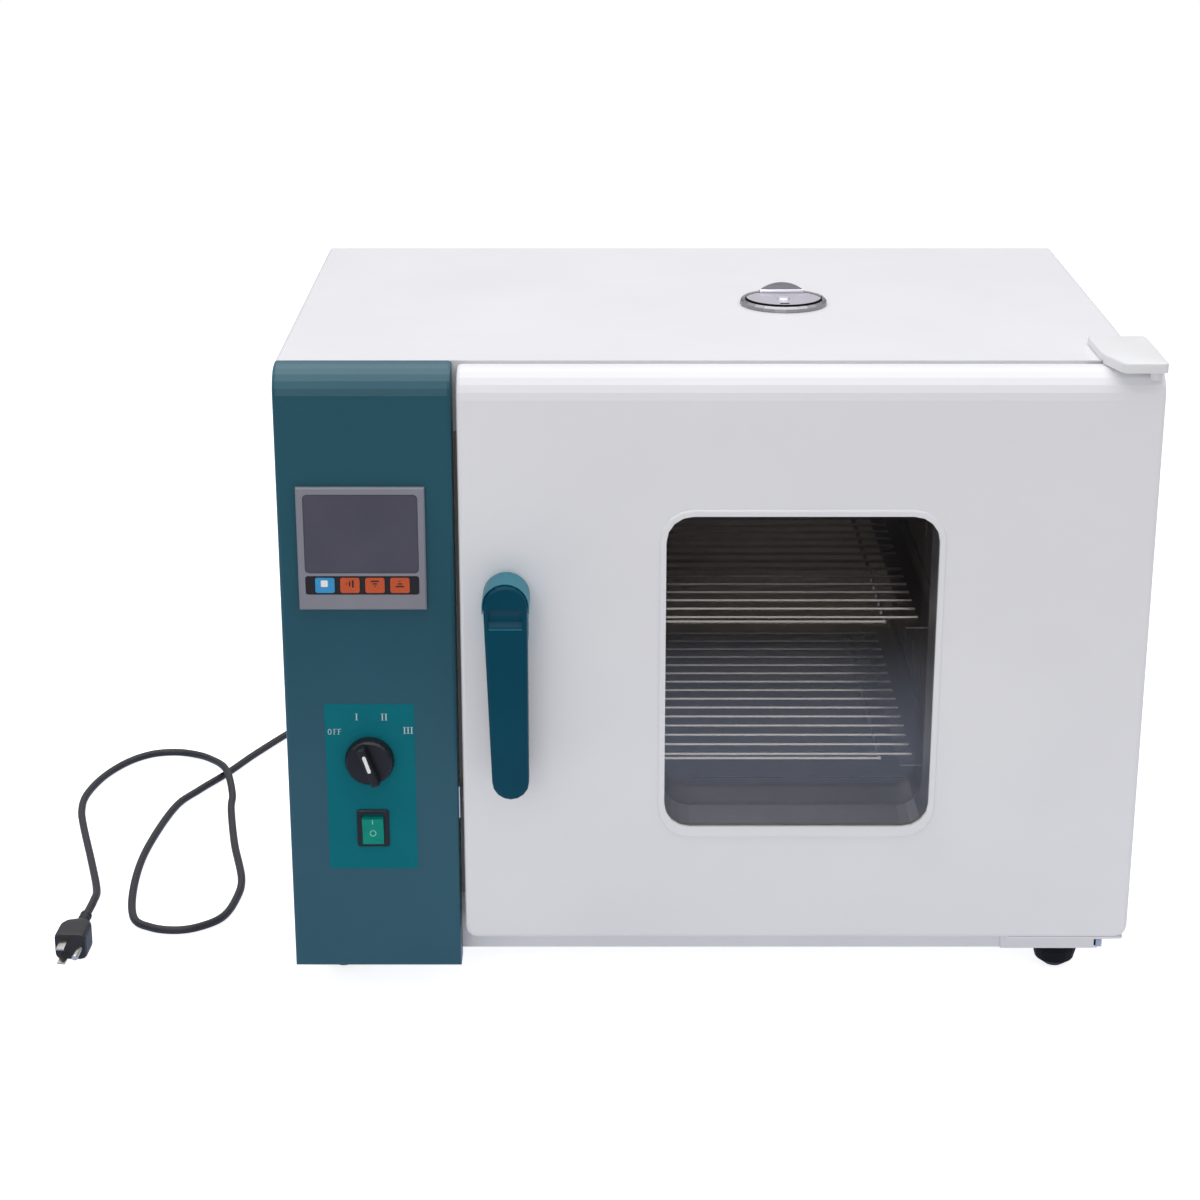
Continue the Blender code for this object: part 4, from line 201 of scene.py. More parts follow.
# %% [markdown]
# The feet are rubber, the lead and its plug are soft PVC, and the door seal is silicone. All three
# are matt, with a faint bloom that shows as a soft sheen where the surface turns away. The lead's
# sheath keeps the slight ripple of the wires twisted inside it.
# %% Rubber, PVC and silicone
BLOOM_WIDTH = 25 * MM


def soft_polymer(name, light, dark, gloss, wave, height, shine=0.5):
    material, tree, shader, place = blank(name)
    drift = add(tree, "ShaderNodeTexNoise", {"Scale": 1 / BLOOM_WIDTH, "Detail": 4}, {"Vector": place})
    tree.links.new(two_tone(tree, drift.outputs["Fac"], dark, light), shader.inputs["Base Color"])
    dull = add(tree, "ShaderNodeMapRange", {"To Min": gloss, "To Max": gloss + 0.15},
               {"Value": drift.outputs["Fac"]})
    tree.links.new(dull.outputs["Result"], shader.inputs["Roughness"])
    ripple = add(tree, "ShaderNodeTexNoise", {"Scale": 1 / (wave * MM), "Detail": 2}, {"Vector": place})
    skin = add(tree, "ShaderNodeBump", {"Strength": 0.5, "Distance": height * MM},
               {"Height": ripple.outputs["Fac"]})
    tree.links.new(skin.outputs["Normal"], shader.inputs["Normal"])
    shader.inputs["Specular IOR Level"].default_value = shine
    shader.inputs["Sheen Weight"].default_value = 0.08 * shine
    shader.inputs["Sheen Roughness"].default_value = 0.5
    return material


finishes.update({
    "black_rubber": soft_polymer("black_rubber", "#0E0E11", "#09090C", 0.62, 1.5, 0.05, 0.2),
    "black_pvc": soft_polymer("black_pvc_sheath", "#26252C", "#1D1C22", 0.42, 3, 0.08),
    "grey_silicone": soft_polymer("grey_silicone_seal", "#8E8E94", "#85858B", 0.5, 2, 0.03),
})
print("with soft polymers:", len(finishes))

# %% [markdown]
# The chamber is bent from stainless sheet that was brushed in one direction: grinding lines a
# fraction of a millimetre wide and many centimetres long. A noise that is squeezed in one
# direction gives such lines. It drives both the gloss and the bump, so highlights stretch across
# the grain. The lines are drawn 0.8 mm wide, to show at all.
# %% Brushed stainless and aluminium
def brushed(name, light, dark, gloss, line, length):
    material, tree, shader, place = blank(name)
    across = 1 / (line * MM)
    squeeze = add(tree, "ShaderNodeMapping", {"Scale": (1 / (length * MM), across, across)},
                  {"Vector": place})
    lines = add(tree, "ShaderNodeTexNoise", {"Scale": 1, "Detail": 3, "Roughness": 0.65},
                {"Vector": squeeze.outputs["Vector"]})
    tree.links.new(two_tone(tree, lines.outputs["Fac"], dark, light), shader.inputs["Base Color"])
    dull = add(tree, "ShaderNodeMapRange", {"To Min": gloss, "To Max": gloss + 0.16},
               {"Value": lines.outputs["Fac"]})
    tree.links.new(dull.outputs["Result"], shader.inputs["Roughness"])
    skin = add(tree, "ShaderNodeBump", {"Strength": 0.15, "Distance": SKIN_HEIGHT},
               {"Height": lines.outputs["Fac"]})
    tree.links.new(skin.outputs["Normal"], shader.inputs["Normal"])
    shader.inputs["Metallic"].default_value = 1
    return material


finishes.update({
    "stainless_steel": brushed("brushed_stainless", "#BAB3A9", "#B0A9A0", 0.46, 0.8, 90),
    "aluminium": brushed("satin_aluminium", "#CFD0D6", "#C2C3CA", 0.32, 0.9, 14),
    "chrome": brushed("polished_wire", "#E4E4E4", "#D8D8D9", 0.12, 1.2, 30),
})
print("with brushed metals:", len(finishes))

# %% [markdown]
# Zinc covers the hinges as a bright plating and the partition as a hot-dipped skin. Hot zinc
# freezes into flat crystals, called spangle, about 10 mm wide, each a slightly different grey.
# A Voronoi pattern gives such cells. The plating has none, only a faint cloud in its tint.
# %% Zinc and heater steel
GRIT_WIDTH = 1.5 * MM


def zinc_skin(name, light, dark, gloss, crystal):
    material, tree, shader, place = blank(name)
    cells = add(tree, "ShaderNodeTexVoronoi", {"Scale": 1 / (crystal * MM)}, {"Vector": place})
    grey = add(tree, "ShaderNodeRGBToBW", links={"Color": cells.outputs["Color"]})
    tree.links.new(two_tone(tree, grey.outputs["Val"], dark, light, 0.1, 0.9), shader.inputs["Base Color"])
    dull = add(tree, "ShaderNodeMapRange", {"To Min": gloss, "To Max": gloss + 0.12},
               {"Value": grey.outputs["Val"]})
    tree.links.new(dull.outputs["Result"], shader.inputs["Roughness"])
    grit = add(tree, "ShaderNodeTexNoise", {"Scale": 1 / GRIT_WIDTH, "Detail": 2}, {"Vector": place})
    skin = add(tree, "ShaderNodeBump", {"Strength": 0.3, "Distance": SKIN_HEIGHT},
               {"Height": grit.outputs["Fac"]})
    tree.links.new(skin.outputs["Normal"], shader.inputs["Normal"])
    shader.inputs["Metallic"].default_value = 1
    return material


finishes.update({
    "galvanised_steel": zinc_skin("hot_dipped_zinc", "#B4B8BC", "#989CA1", 0.38, 10),
    "zinc_plate": zinc_skin("bright_zinc_plate", "#C3C9CF", "#B8BEC5", 0.26, 40),
    "oxidised_steel": zinc_skin("heated_steel_tube", "#5A4E47", "#433E3D", 0.45, 14),
})
print("with zinc and heater steel:", len(finishes))

# %% [markdown]
# The insulation is mineral wool: a felt of short glassy fibres, cream to brown, that scatters all
# light. Two noises squeezed along different directions stand for fibres that lie across each
# other. Nothing of it shines.
# %% Mineral wool
FIBRE_LENGTH = 14 * MM
FIBRE_WIDTH = 1.5 * MM
wool, tree, shader, place = blank("mineral_wool")
coarse = 1 / FIBRE_LENGTH
fine = 1 / FIBRE_WIDTH
along = add(tree, "ShaderNodeMapping", {"Scale": (coarse, fine, fine)}, {"Vector": place})
across = add(tree, "ShaderNodeMapping", {"Scale": (fine, coarse, fine)}, {"Vector": place})
first = add(tree, "ShaderNodeTexNoise", {"Scale": 1, "Detail": 4}, {"Vector": along.outputs["Vector"]})
second = add(tree, "ShaderNodeTexNoise", {"Scale": 1, "Detail": 4}, {"Vector": across.outputs["Vector"]})
fibres = add(tree, "ShaderNodeMath", {"operation": "MAXIMUM"})
tree.links.new(first.outputs["Fac"], fibres.inputs[0])
tree.links.new(second.outputs["Fac"], fibres.inputs[1])
tree.links.new(two_tone(tree, fibres.outputs["Value"], "#BFAF86", "#DDD3B4"), shader.inputs["Base Color"])
felt = add(tree, "ShaderNodeBump", {"Strength": 1, "Distance": 0.6 * MM},
           {"Height": fibres.outputs["Value"]})
tree.links.new(felt.outputs["Normal"], shader.inputs["Normal"])
shader.inputs["Roughness"].default_value = 0.95
finishes["mineral_wool"] = wool
print("with wool:", len(finishes))

# %% [markdown]
# The door has two panes of plain float glass. It is clear and smooth, and it mirrors the bright
# room a little on each face. Light from the lamps has to reach the chamber through it, so a
# shadow ray passes it freely. The controller's window is a smoked acrylic sheet: almost opaque
# while the display is off, with a soft gloss.
# %% Glass and the smoked window
GLASS_TINT = linear("#F1EFED")
glass, tree, shader, _ = blank("float_glass")
shader.inputs["Base Color"].default_value = GLASS_TINT
shader.inputs["Roughness"].default_value = 0.01
shader.inputs["IOR"].default_value = 1.5
shader.inputs["Transmission Weight"].default_value = 1
passing = add(tree, "ShaderNodeBsdfTransparent", {"Color": GLASS_TINT})
ray = add(tree, "ShaderNodeLightPath")
either = add(tree, "ShaderNodeMixShader", links={"Fac": ray.outputs["Is Shadow Ray"]})
tree.links.new(shader.outputs["BSDF"], either.inputs[1])
tree.links.new(passing.outputs["BSDF"], either.inputs[2])
tree.links.new(either.outputs["Shader"], tree.nodes["Material Output"].inputs["Surface"])
finishes["clear_glass"] = glass

finishes["smoked_window"] = moulded("smoked_acrylic", "#595766", "#545261", 0.16, 0.05, 40)
print("with glass:", len(finishes))

# %% [markdown]
# The record names a material slot for each piece of the CAD model. Each piece gets the finish of
# its slot, and its mesh stays as it is.
# %% Give each CAD piece its finish
for part in frame["record"]["subparts"]:
    surface = nodes[part["node"]].data
    surface.materials.clear()
    surface.materials.append(finishes[part["material_slot"]])

# %% [markdown]
# Some pieces share a slot with others but have a finish of their own. The handle's fixed base is
# a lighter teal than its lever: painted light, a lit copy of the lever's nylon that stands for its
# top faces under the overhead lamp. The vent's collar is turned aluminium, darker than the room it
# mirrors, and its disc is rolled sheet with a faint lilac cast. The lower hinge is zinc that was
# painted over with the cabinet.
# %% Finishes of single pieces
own_finishes = {
    # A lighter copy of the lever's teal nylon: painted light of the handle's lit top.
    "handle_base": moulded("lit_teal_nylon_painted_highlight", "#1E7F94", "#1B788C", 0.34, 0.15, 60, 0.3),
    "vent_pipe": brushed("turned_aluminium", "#A5A3A8", "#97959A", 0.34, 0.7, 9),
    "vent_disc": brushed("rolled_aluminium_sheet", "#CBC8D2", "#C1BEC9", 0.42, 0.9, 30),
    "lower_hinge": finishes["white_paint"],
}
for node, finish in own_finishes.items():
    nodes[node].data.materials[0] = finish
print("own finishes:", sorted(own_finishes))

# %% [markdown]
# The mains lead is 1.6 m of 6.8 mm round PVC cable. It leaves the back of the control column,
# drops to the bench, runs out to the left, turns in one loose bend and ends at the front left in
# its moulded plug, as in the photograph. A bezier curve through the route's points gives it an
# even, springy line. Its handles are set from the neighbours of each point, so that the curve is
# the same as the CAD model's.
# %% Mains lead
LEAD_ROUTE_MM = [
    (-262, 268.1, 60), (-262, 288, 59), (-262.5, 310, 47), (-265, 328, 24), (-271, 346, 8.5),
    (-285, 366, 3.8), (-310, 381, 3.7), (-341, 383, 3.7), (-370, 368, 3.7), (-392, 337, 3.7),
    (-422.5, 276, 3.7), (-443, 229, 3.7), (-464, 188.5, 3.7), (-481, 147, 3.7), (-491.6, 55, 3.7),
    (-490, -20, 3.7), (-480, -80, 3.7), (-462, -99, 3.7), (-440, -104, 3.7), (-421, -97, 3.7),
    (-405, -79, 3.7), (-398.5, -46, 3.7), (-399, -5, 3.7), (-415, 68, 3.7), (-428, 142, 4.4),
    (-431, 173, 7), (-443, 219, 11.5), (-464, 257, 6.6), (-485, 276, 3.9), (-505, 280, 3.7),
    (-525, 274, 3.7), (-544, 254, 3.7), (-560, 219, 3.7), (-568, 177, 3.7), (-566, 142, 3.7),
    (-557, 104, 3.7), (-536, 30, 3.7), (-520, -31, 6), (-516.4, -62, 10.6), (-517, -92, 11.8),
]
LEAD_RADIUS = 3.4 * MM
route = [Vector(point) * MM for point in LEAD_ROUTE_MM]
line = bpy.data.curves.new("mains_lead", "CURVE")
line.dimensions = "3D"
line.resolution_u = 10
line.bevel_depth = LEAD_RADIUS
line.bevel_resolution = 4
line.use_fill_caps = True
spline = line.splines.new("BEZIER")
spline.bezier_points.add(len(route) - 1)
padded = [2 * route[0] - route[1], *route, 2 * route[-1] - route[-2]]
for knot, before, here, after in zip(spline.bezier_points, padded, padded[1:], padded[2:]):
    knot.co = here
    knot.handle_left = here - (after - before) / 6
    knot.handle_right = here + (after - before) / 6
line.materials.append(finishes["black_pvc"])
lead = bpy.data.objects.new("mains_lead", line)
bpy.context.scene.collection.objects.link(lead)
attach(lead, "cabinet")
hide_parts("power_cord")
print("lead through", len(route), "points")

# %% [markdown]
# The floor and the room are plain white. The floor is a matt white sheet that also glows a little
# towards the camera, so that it reads as white while the oven still darkens it where it stands.
# What the oven's gloss mirrors is another matter. The photograph shows a bright patch of floor in
# the lower half of the window and of the column, and dark room above it: the white paper ends
# about 0.8 m in front of the oven. So a ray that comes off a gloss finds a cool white floor that
# turns dark beyond that line, and a room that is dark at the horizon and white overhead.
# %% Floor and world
FLOOR_HALF = 6
PAPER_END = -1.0
PAPER_FADE = 0.3
ground = bmesh.new()
bmesh.ops.create_grid(ground, x_segments=1, y_segments=1, size=FLOOR_HALF)
sheet = bpy.data.meshes.new("floor")
ground.to_mesh(sheet)
ground.free()
floor = bpy.data.objects.new("floor", sheet)
bpy.context.scene.collection.objects.link(floor)
paper, tree, shader, place = blank("white_paper_floor")
shader.inputs["Base Color"].default_value = linear("#F2F2F3")
shader.inputs["Roughness"].default_value = 0.9
shader.inputs["Specular IOR Level"].default_value = 0
path, directly = seen_directly(tree)
seen = add(tree, "ShaderNodeEmission", {"Color": linear("#E8E8E9")}, {"Strength": directly})
both = add(tree, "ShaderNodeAddShader")
tree.links.new(shader.outputs["BSDF"], both.inputs[0])
tree.links.new(seen.outputs["Emission"], both.inputs[1])
spot = add(tree, "ShaderNodeSeparateXYZ", links={"Vector": place})
near = add(tree, "ShaderNodeMapRange",
           {"From Min": PAPER_END, "From Max": PAPER_END + PAPER_FADE, "To Min": 0.03, "To Max": 1},
           {"Value": spot.outputs["Y"]})
mirrored = add(tree, "ShaderNodeEmission", {"Color": linear("#C8D6F6")},
               {"Strength": near.outputs["Result"]})
found = add(tree, "ShaderNodeMixShader", links={"Fac": path["Is Glossy Ray"]})
tree.links.new(both.outputs["Shader"], found.inputs[1])
tree.links.new(mirrored.outputs["Emission"], found.inputs[2])
tree.links.new(found.outputs["Shader"], tree.nodes["Material Output"].inputs["Surface"])
sheet.materials.append(paper)

world = bpy.data.worlds.new("white_room")
bpy.context.scene.world = world
world.use_nodes = True
tree = world.node_tree
tree.nodes.clear()
path, directly = seen_directly(tree)
direction = add(tree, "ShaderNodeTexCoord")
height = add(tree, "ShaderNodeSeparateXYZ", links={"Vector": direction.outputs["Generated"]})
sky = add(tree, "ShaderNodeMapRange", {"From Min": 0.05, "From Max": 0.6, "To Min": 0.08, "To Max": 0.95},
          {"Value": height.outputs["Z"]})
given = add(tree, "ShaderNodeMix", {"A": 0.42},
            {"Factor": path["Is Glossy Ray"], "B": sky.outputs["Result"]})
level = add(tree, "ShaderNodeMix", {"B": 1}, {"Factor": directly, "A": given.outputs["Result"]})
air = add(tree, "ShaderNodeBackground", {"Color": (1, 1, 1, 1)}, {"Strength": level.outputs["Result"]})
add(tree, "ShaderNodeOutputWorld", links={"Surface": air.outputs["Background"]})
bpy.context.scene.view_settings.view_transform = "Standard"
print("floor and world are set")

# %% [markdown]
# Two big soft lamps light the oven, as soft boxes in a studio do: one overhead, that makes the top
# the brightest face and draws the soft line along the bends, and a weaker one in front, a little
# left of the camera, that reaches through the window to the back of the chamber. Both are large,
# so the shadows have no edge.
# %% Lamps
def soft_box(name, spot, target, size, power):
    """A rectangular area lamp at a spot in metres, turned to face its target."""
    lamp = bpy.data.lights.new(name, "AREA")
    lamp.shape = "RECTANGLE"
    lamp.size, lamp.size_y = size
    lamp.energy = power
    holder = bpy.data.objects.new(name, lamp)
    bpy.context.scene.collection.objects.link(holder)
    holder.location = spot
    holder.rotation_euler = (Vector(target) - Vector(spot)).to_track_quat("-Z", "Y").to_euler()
    print(name, power, "W")


soft_box("overhead_soft_box", spot=(0, -0.05, 2.4), target=(0, 0.15, 0.3), size=(3.2, 2.6), power=43)
soft_box("front_soft_box", spot=(-0.7, -3.2, 1.25), target=(0, 0, 0.25), size=(2, 1.4), power=14)

# %% [markdown]
# Each added piece is a small mesh with its place in its vertices. One function turns a bmesh into
# such an object, gives it its finish and lets it ride on a body of the CAD model. The
# others add a box, bevel its edges, pick the points that an operator has made, and move points.
# All places and sizes of the pieces are in millimetres.
# %% Helpers for added pieces
FRONT_TO_BACK = 1
UPRIGHT = 2
MERGE_GAP = 0.001 * MM


def make_piece(name, shape, finish, body, soft_angle=35):
    """Turns a bmesh into an object with one finish that rides on a body."""
    mesh = bpy.data.meshes.new(name)
    shape.to_mesh(mesh)
    shape.free()
    mesh.materials.append(finish)
    mesh.shade_smooth()
    mesh.set_sharp_from_angle(angle=math.radians(soft_angle))
    made = bpy.data.objects.new(name, mesh)
    bpy.context.scene.collection.objects.link(made)
    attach(made, body)
    print(name, len(mesh.polygons), "faces")
    return made


def add_box(shape, middle, size, tilt=0.0):
    """A box, turned about the front-to-back axis by tilt degrees."""
    place = (Matrix.Translation(Vector(middle) * MM) @ Matrix.Rotation(math.radians(tilt), 4, "Y")
             @ Matrix.Diagonal((*(Vector(size) * MM), 1)))
    return bmesh.ops.create_cube(shape, size=1, matrix=place)["verts"]


def bevel_edges(shape, edges, width, segments):
    """Rounds edges by a width in millimetres."""
    bmesh.ops.bevel(shape, geom=list(edges), offset=width * MM, offset_type="OFFSET", affect="EDGES",
                    segments=segments, profile=0.5, material=-1)


def soften(shape, verts, width, segments=2, along=None):
    """Bevels the edges of the given points, or only those that run along one axis."""
    edges = {edge for vert in verts for edge in vert.link_edges}
    if along is not None:
        edges = {edge for edge in edges
                 if abs((edge.verts[0].co - edge.verts[1].co).normalized()[along]) > 0.9}
    bevel_edges(shape, edges, width, segments)


def points_in(made):
    """The points among what an operator has made."""
    return [item for item in made["geom"] if isinstance(item, bmesh.types.BMVert)]


def shift(shape, points, way):
    """Moves points by a way in millimetres."""
    bmesh.ops.translate(shape, vec=Vector(way) * MM, verts=points)


def give_wall(shape, thickness):
    """Makes a sheet of faces a wall and turns its faces outwards."""
    bmesh.ops.recalc_face_normals(shape, faces=shape.faces)
    bmesh.ops.solidify(shape, geom=shape.faces[:], thickness=thickness * MM)
    bmesh.ops.recalc_face_normals(shape, faces=shape.faces)


# %% [markdown]
# Around the knob and the rocker a teal foil is stuck to the column. It is printed from behind, so
# it is a little glossier and greener than the paint.
# %% Foil behind the knob and the rocker
foil_finish = moulded("printed_foil", "#0C7480", "#0A6E7C", 0.3, 0.1, 50, 0.06)
FOIL_X = -264.25
FOIL_Z = 176
FOIL_WIDTH = 68.7
FOIL_HEIGHT = 138
FOIL_THICKNESS = 0.2
FOIL_FRONT = -202.72
foil = bmesh.new()
corners = add_box(foil, (FOIL_X, FOIL_FRONT + FOIL_THICKNESS / 2, FOIL_Z),
                  (FOIL_WIDTH, FOIL_THICKNESS, FOIL_HEIGHT))
soften(foil, corners, 1, 3, along=FRONT_TO_BACK)
make_piece("control_foil", foil, foil_finish, "cabinet")

# %% [markdown]
# The marks are screen-printed in pale grey: OFF, I, II and III stand around the knob, a quarter
# turn apart in all. Each mark is a film of 0.06 mm on the foil. The numerals and letters are built
# from bars with short feet, as a serif face has them, and the O is a ring that is drawn out into
# an oval.
# %% Marks around the knob
print_finish = moulded("pale_print", "#C9D3D6", "#C4CED2", 0.5, 0.0)
FILM = 0.06
MARK_FRONT = FOIL_FRONT - 0.04
NUMERALS = ((-274.1, 234.5, 1), (-252.9, 234.4, 2), (-234.8, 223.3, 3))
STROKE_PITCH = 2.75
STROKE_SIZE = (0.85, FILM, 5.6)
SERIF_SIZE = (2.1, FILM, 0.35)
SERIF_RISE = 2.65


def add_numeral(shape, middle_x, middle_z, strokes):
    """One to three upright strokes, each with a short foot at its top and bottom."""
    for index in range(strokes):
        x = middle_x + (index - (strokes - 1) / 2) * STROKE_PITCH
        add_box(shape, (x, MARK_FRONT, middle_z), STROKE_SIZE)
        for rise in (-SERIF_RISE, SERIF_RISE):
            add_box(shape, (x, MARK_FRONT, middle_z + rise), SERIF_SIZE)


marks = bmesh.new()
for middle_x, middle_z, strokes in NUMERALS:
    add_numeral(marks, middle_x, middle_z, strokes)
make_piece("switch_marks", marks, print_finish, "cabinet")

OFF_Z = 222.2
O_X = -295.1
O_HALF = (1.45, 2.35)
O_HOLE_SHARE = (0.62, 0.8)
F_LEFT = (-292.4, -289)
F_BARS = ((0.7, 0, 0.6, 4.6), (1.4, 2.15, 2.8, 0.35), (1.25, 0.1, 1.6, 0.32), (0.7, -2.15, 1.6, 0.3))
letters = bmesh.new()
ring = bmesh.ops.create_circle(letters, cap_ends=False, segments=24, radius=1 * MM)["verts"]
hole = points_in(bmesh.ops.extrude_edge_only(letters, edges=letters.edges[:]))
bmesh.ops.scale(letters, vec=(*O_HOLE_SHARE, 1), verts=hole)
oval = (Matrix.Translation(Vector((O_X, MARK_FRONT, OFF_Z)) * MM)
        @ Matrix.Rotation(math.radians(90), 4, "X") @ Matrix.Diagonal((*O_HALF, 1, 1)))
bmesh.ops.transform(letters, matrix=oval, verts=ring + hole)
for left in F_LEFT:
    for across, rise, wide, tall in F_BARS:
        add_box(letters, (left + across, MARK_FRONT, OFF_Z + rise), (wide, FILM, tall))
make_piece("off_mark", letters, print_finish, "cabinet")

# %% [markdown]
# The knob's grip carries a white line that points at the chosen step. The line is a filled groove,
# 2.7 mm wide with round ends, and leans with the grip. The rest position is between I and OFF.
# %% Pointer line on the knob
white_print = moulded("white_fill", "#F4F4F4", "#EFEFF0", 0.45, 0.0)
KNOB_FACE = Vector((-264.9, -220.82, 199))
POINTER_LEAN = -18
POINTER_OUT = 3.2
POINTER_SIZE = (2.7, 0.1, 14.6)
POINTER_ROUND = 1.3
lean = math.radians(POINTER_LEAN)
pointer = bmesh.new()
corners = add_box(pointer, KNOB_FACE + Vector((math.sin(lean), 0, math.cos(lean))) * POINTER_OUT,
                  POINTER_SIZE, POINTER_LEAN)
soften(pointer, corners, POINTER_ROUND, 4, along=FRONT_TO_BACK)
make_piece("knob_pointer", pointer, white_print, "knob")

# %% [markdown]
# The controller has a black foil under its four keys. It fills the shallow pocket of the bezel and
# leaves a slit around each key, so the keys seem to float in it.
# %% Black key field
bezel_low, bezel_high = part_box("controller_bezel")
BEZEL_X = (bezel_low.x + bezel_high.x) / 2 / MM
BEZEL_FRONT = bezel_low.y / MM
FIELD_SIZE = (85, 2, 14.2)
FIELD_SINK = 1.35
KEY_X = {"set": -294.15, "shift": -275.35, "down": -256.55, "up": -237.75}
KEY_MIDDLE_Z = 342.3
KEY_HOLE_SIZE = (15.1, 8, 12.5)
KEY_HOLE_SINK = 1
KEY_CORNER = 1.6
field = bmesh.new()
corners = add_box(field, (BEZEL_X, BEZEL_FRONT + FIELD_SINK, KEY_MIDDLE_Z), FIELD_SIZE)
soften(field, corners, KEY_CORNER, 3, along=FRONT_TO_BACK)
field_piece = make_piece("key_field", field, moulded("black_key_foil", "#26242A", "#211F26", 0.34, 0.2),
                         "cabinet")
holes = bmesh.new()
for x in KEY_X.values():
    corners = add_box(holes, (x, BEZEL_FRONT + KEY_HOLE_SINK, KEY_MIDDLE_Z), KEY_HOLE_SIZE)
    soften(holes, corners, KEY_CORNER, 3, along=FRONT_TO_BACK)
cutter_mesh = bpy.data.meshes.new("key_holes")
holes.to_mesh(cutter_mesh)
holes.free()
cutter = bpy.data.objects.new("key_holes", cutter_mesh)
bpy.context.scene.collection.objects.link(cutter)
cut = field_piece.modifiers.new("key_holes", "BOOLEAN")
cut.operation = "DIFFERENCE"
cut.solver = "EXACT"
cut.object = cutter
bpy.context.view_layer.update()
opened = bpy.data.meshes.new_from_object(field_piece.evaluated_get(bpy.context.evaluated_depsgraph_get()))
field_piece.modifiers.clear()
field_piece.data = opened
bpy.data.objects.remove(cutter)
print("key field has", len(opened.polygons), "faces")

# %% [markdown]
# Each key has a small printed sign: a window on the blue one, and stepped bars that point left,
# down and up on the orange ones. They move with their keys. A bar is given by its place on the
# key and its width and height.
# %% Signs on the keys
dark_print = moulded("black_print", "#221C1E", "#1C1719", 0.5, 0.0)
SIGN_FRONT = BEZEL_FRONT - FILM / 2
SIGN_Z = KEY_MIDDLE_Z + 1.2
SIGN_BARS = {
    "shift": [(-2.4, 0, 0.9, 0.9), (-0.2, 0, 1.1, 4), (2.2, 0, 1.3, 5.8)],
    "down": [(0, 2.1, 6.2, 1.1), (0, 0, 3.2, 1), (0, -2, 0.9, 0.9)],
    "up": [(0, 2.1, 0.9, 0.9), (0, 0, 3.2, 1), (0, -2.1, 6.2, 1.1)],
}
for key, bars in SIGN_BARS.items():
    sign = bmesh.new()
    for across, rise, wide, tall in bars:
        add_box(sign, (KEY_X[key] + across, SIGN_FRONT, SIGN_Z + rise), (wide, FILM, tall))
    make_piece(key + "_sign", sign, dark_print, key + "_key")
WINDOW_SIGN_SIDE = 5.2
window_sign = bmesh.new()
corners = add_box(window_sign, (KEY_X["set"] - 0.4, SIGN_FRONT, SIGN_Z + 0.2),
                  (WINDOW_SIGN_SIDE, FILM, WINDOW_SIGN_SIDE))
soften(window_sign, corners, 0.7, 2, along=FRONT_TO_BACK)
make_piece("set_sign", window_sign, white_print, "set_key")

# %% [markdown]
# The rocker shows I at its top and O at its bottom, moulded in a paler green. The rocker's face is
# bent, so the flat marks are dropped onto it: a ray from the front finds the height of the face
# under each point.
# %% Marks on the rocker
ROCKER_X = -263.9
I_Z = 148.7
I_SIZE = (0.7, 0.1, 4.1)
ROUND_O_Z = 138.3
ROUND_O_RADIUS = 2.6
ROUND_O_HOLE_SHARE = 0.74
RAY_START_Y = -400


def drop_on(shape, node, lift):
    """Moves each point from front to back until it lies the given height above the node's face."""
    mesh = nodes[node].data
    tree = BVHTree.FromPolygons([vert.co for vert in mesh.vertices],
                                [face.vertices for face in mesh.polygons])
    for vert in shape.verts:
        hit = tree.ray_cast(Vector((vert.co.x, RAY_START_Y * MM, vert.co.z)), Vector((0, 1, 0)))[0]
        vert.co.y += hit.y - lift * MM


rocker_marks = bmesh.new()
add_box(rocker_marks, (ROCKER_X, 0, I_Z), I_SIZE)
bmesh.ops.subdivide_edges(rocker_marks, edges=rocker_marks.edges[:], cuts=1, use_grid_fill=True)
ring = bmesh.ops.create_circle(rocker_marks, cap_ends=False, segments=28, radius=ROUND_O_RADIUS * MM)["verts"]
ring_edges = list({edge for vert in ring for edge in vert.link_edges})
hole = points_in(bmesh.ops.extrude_edge_only(rocker_marks, edges=ring_edges))
bmesh.ops.scale(rocker_marks, vec=(ROUND_O_HOLE_SHARE, ROUND_O_HOLE_SHARE, 1), verts=hole)
stand = (Matrix.Translation(Vector((ROCKER_X, 0, ROUND_O_Z)) * MM)
         @ Matrix.Rotation(math.radians(90), 4, "X"))
bmesh.ops.transform(rocker_marks, matrix=stand, verts=ring + hole)
drop_on(rocker_marks, "rocker", FILM)
make_piece("rocker_marks", rocker_marks, moulded("pale_green_print", "#8ED3BD", "#86CCB5", 0.4, 0.0),
           "power_rocker")

# %% [markdown]
# The handle's fixed base has a thin raised rim that wraps round the lever's head and hides the
# joint from above. It is an arch: a point is spun half a turn, drawn down at both ends, pulled
# from the front to the door, and given a wall. At rest it stays 0.4 mm clear of the lever. When
# the lever is pulled right out, its head passes through the rim.
# %% Rim round the lever's head
lever_low, lever_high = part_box("handle_lever")
HEAD_X = (lever_low.x + lever_high.x) / 2
HEAD_RADIUS = (lever_high.x - lever_low.x) / 2
HEAD_Z = lever_high.z - HEAD_RADIUS
RIM_GAP = 0.4
RIM_WALL = 0.7
RIM_FRONT = lever_low.y + 2.6 * MM
RIM_SIDE = 6
RIM_DEPTH = 28
rim = bmesh.new()
start = rim.verts.new((HEAD_X + HEAD_RADIUS + (RIM_GAP + RIM_WALL) * MM, RIM_FRONT, HEAD_Z))
bmesh.ops.spin(rim, geom=[start], cent=(HEAD_X, RIM_FRONT, HEAD_Z), axis=(0, 1, 0), angle=-math.pi,
               steps=24)
ends = [vert for vert in rim.verts if len(vert.link_edges) == 1]
shift(rim, bmesh.ops.extrude_vert_indiv(rim, verts=ends)["verts"], (0, 0, -RIM_SIDE))
shift(rim, points_in(bmesh.ops.extrude_edge_only(rim, edges=rim.edges[:])), (0, RIM_DEPTH, 0))
give_wall(rim, RIM_WALL)
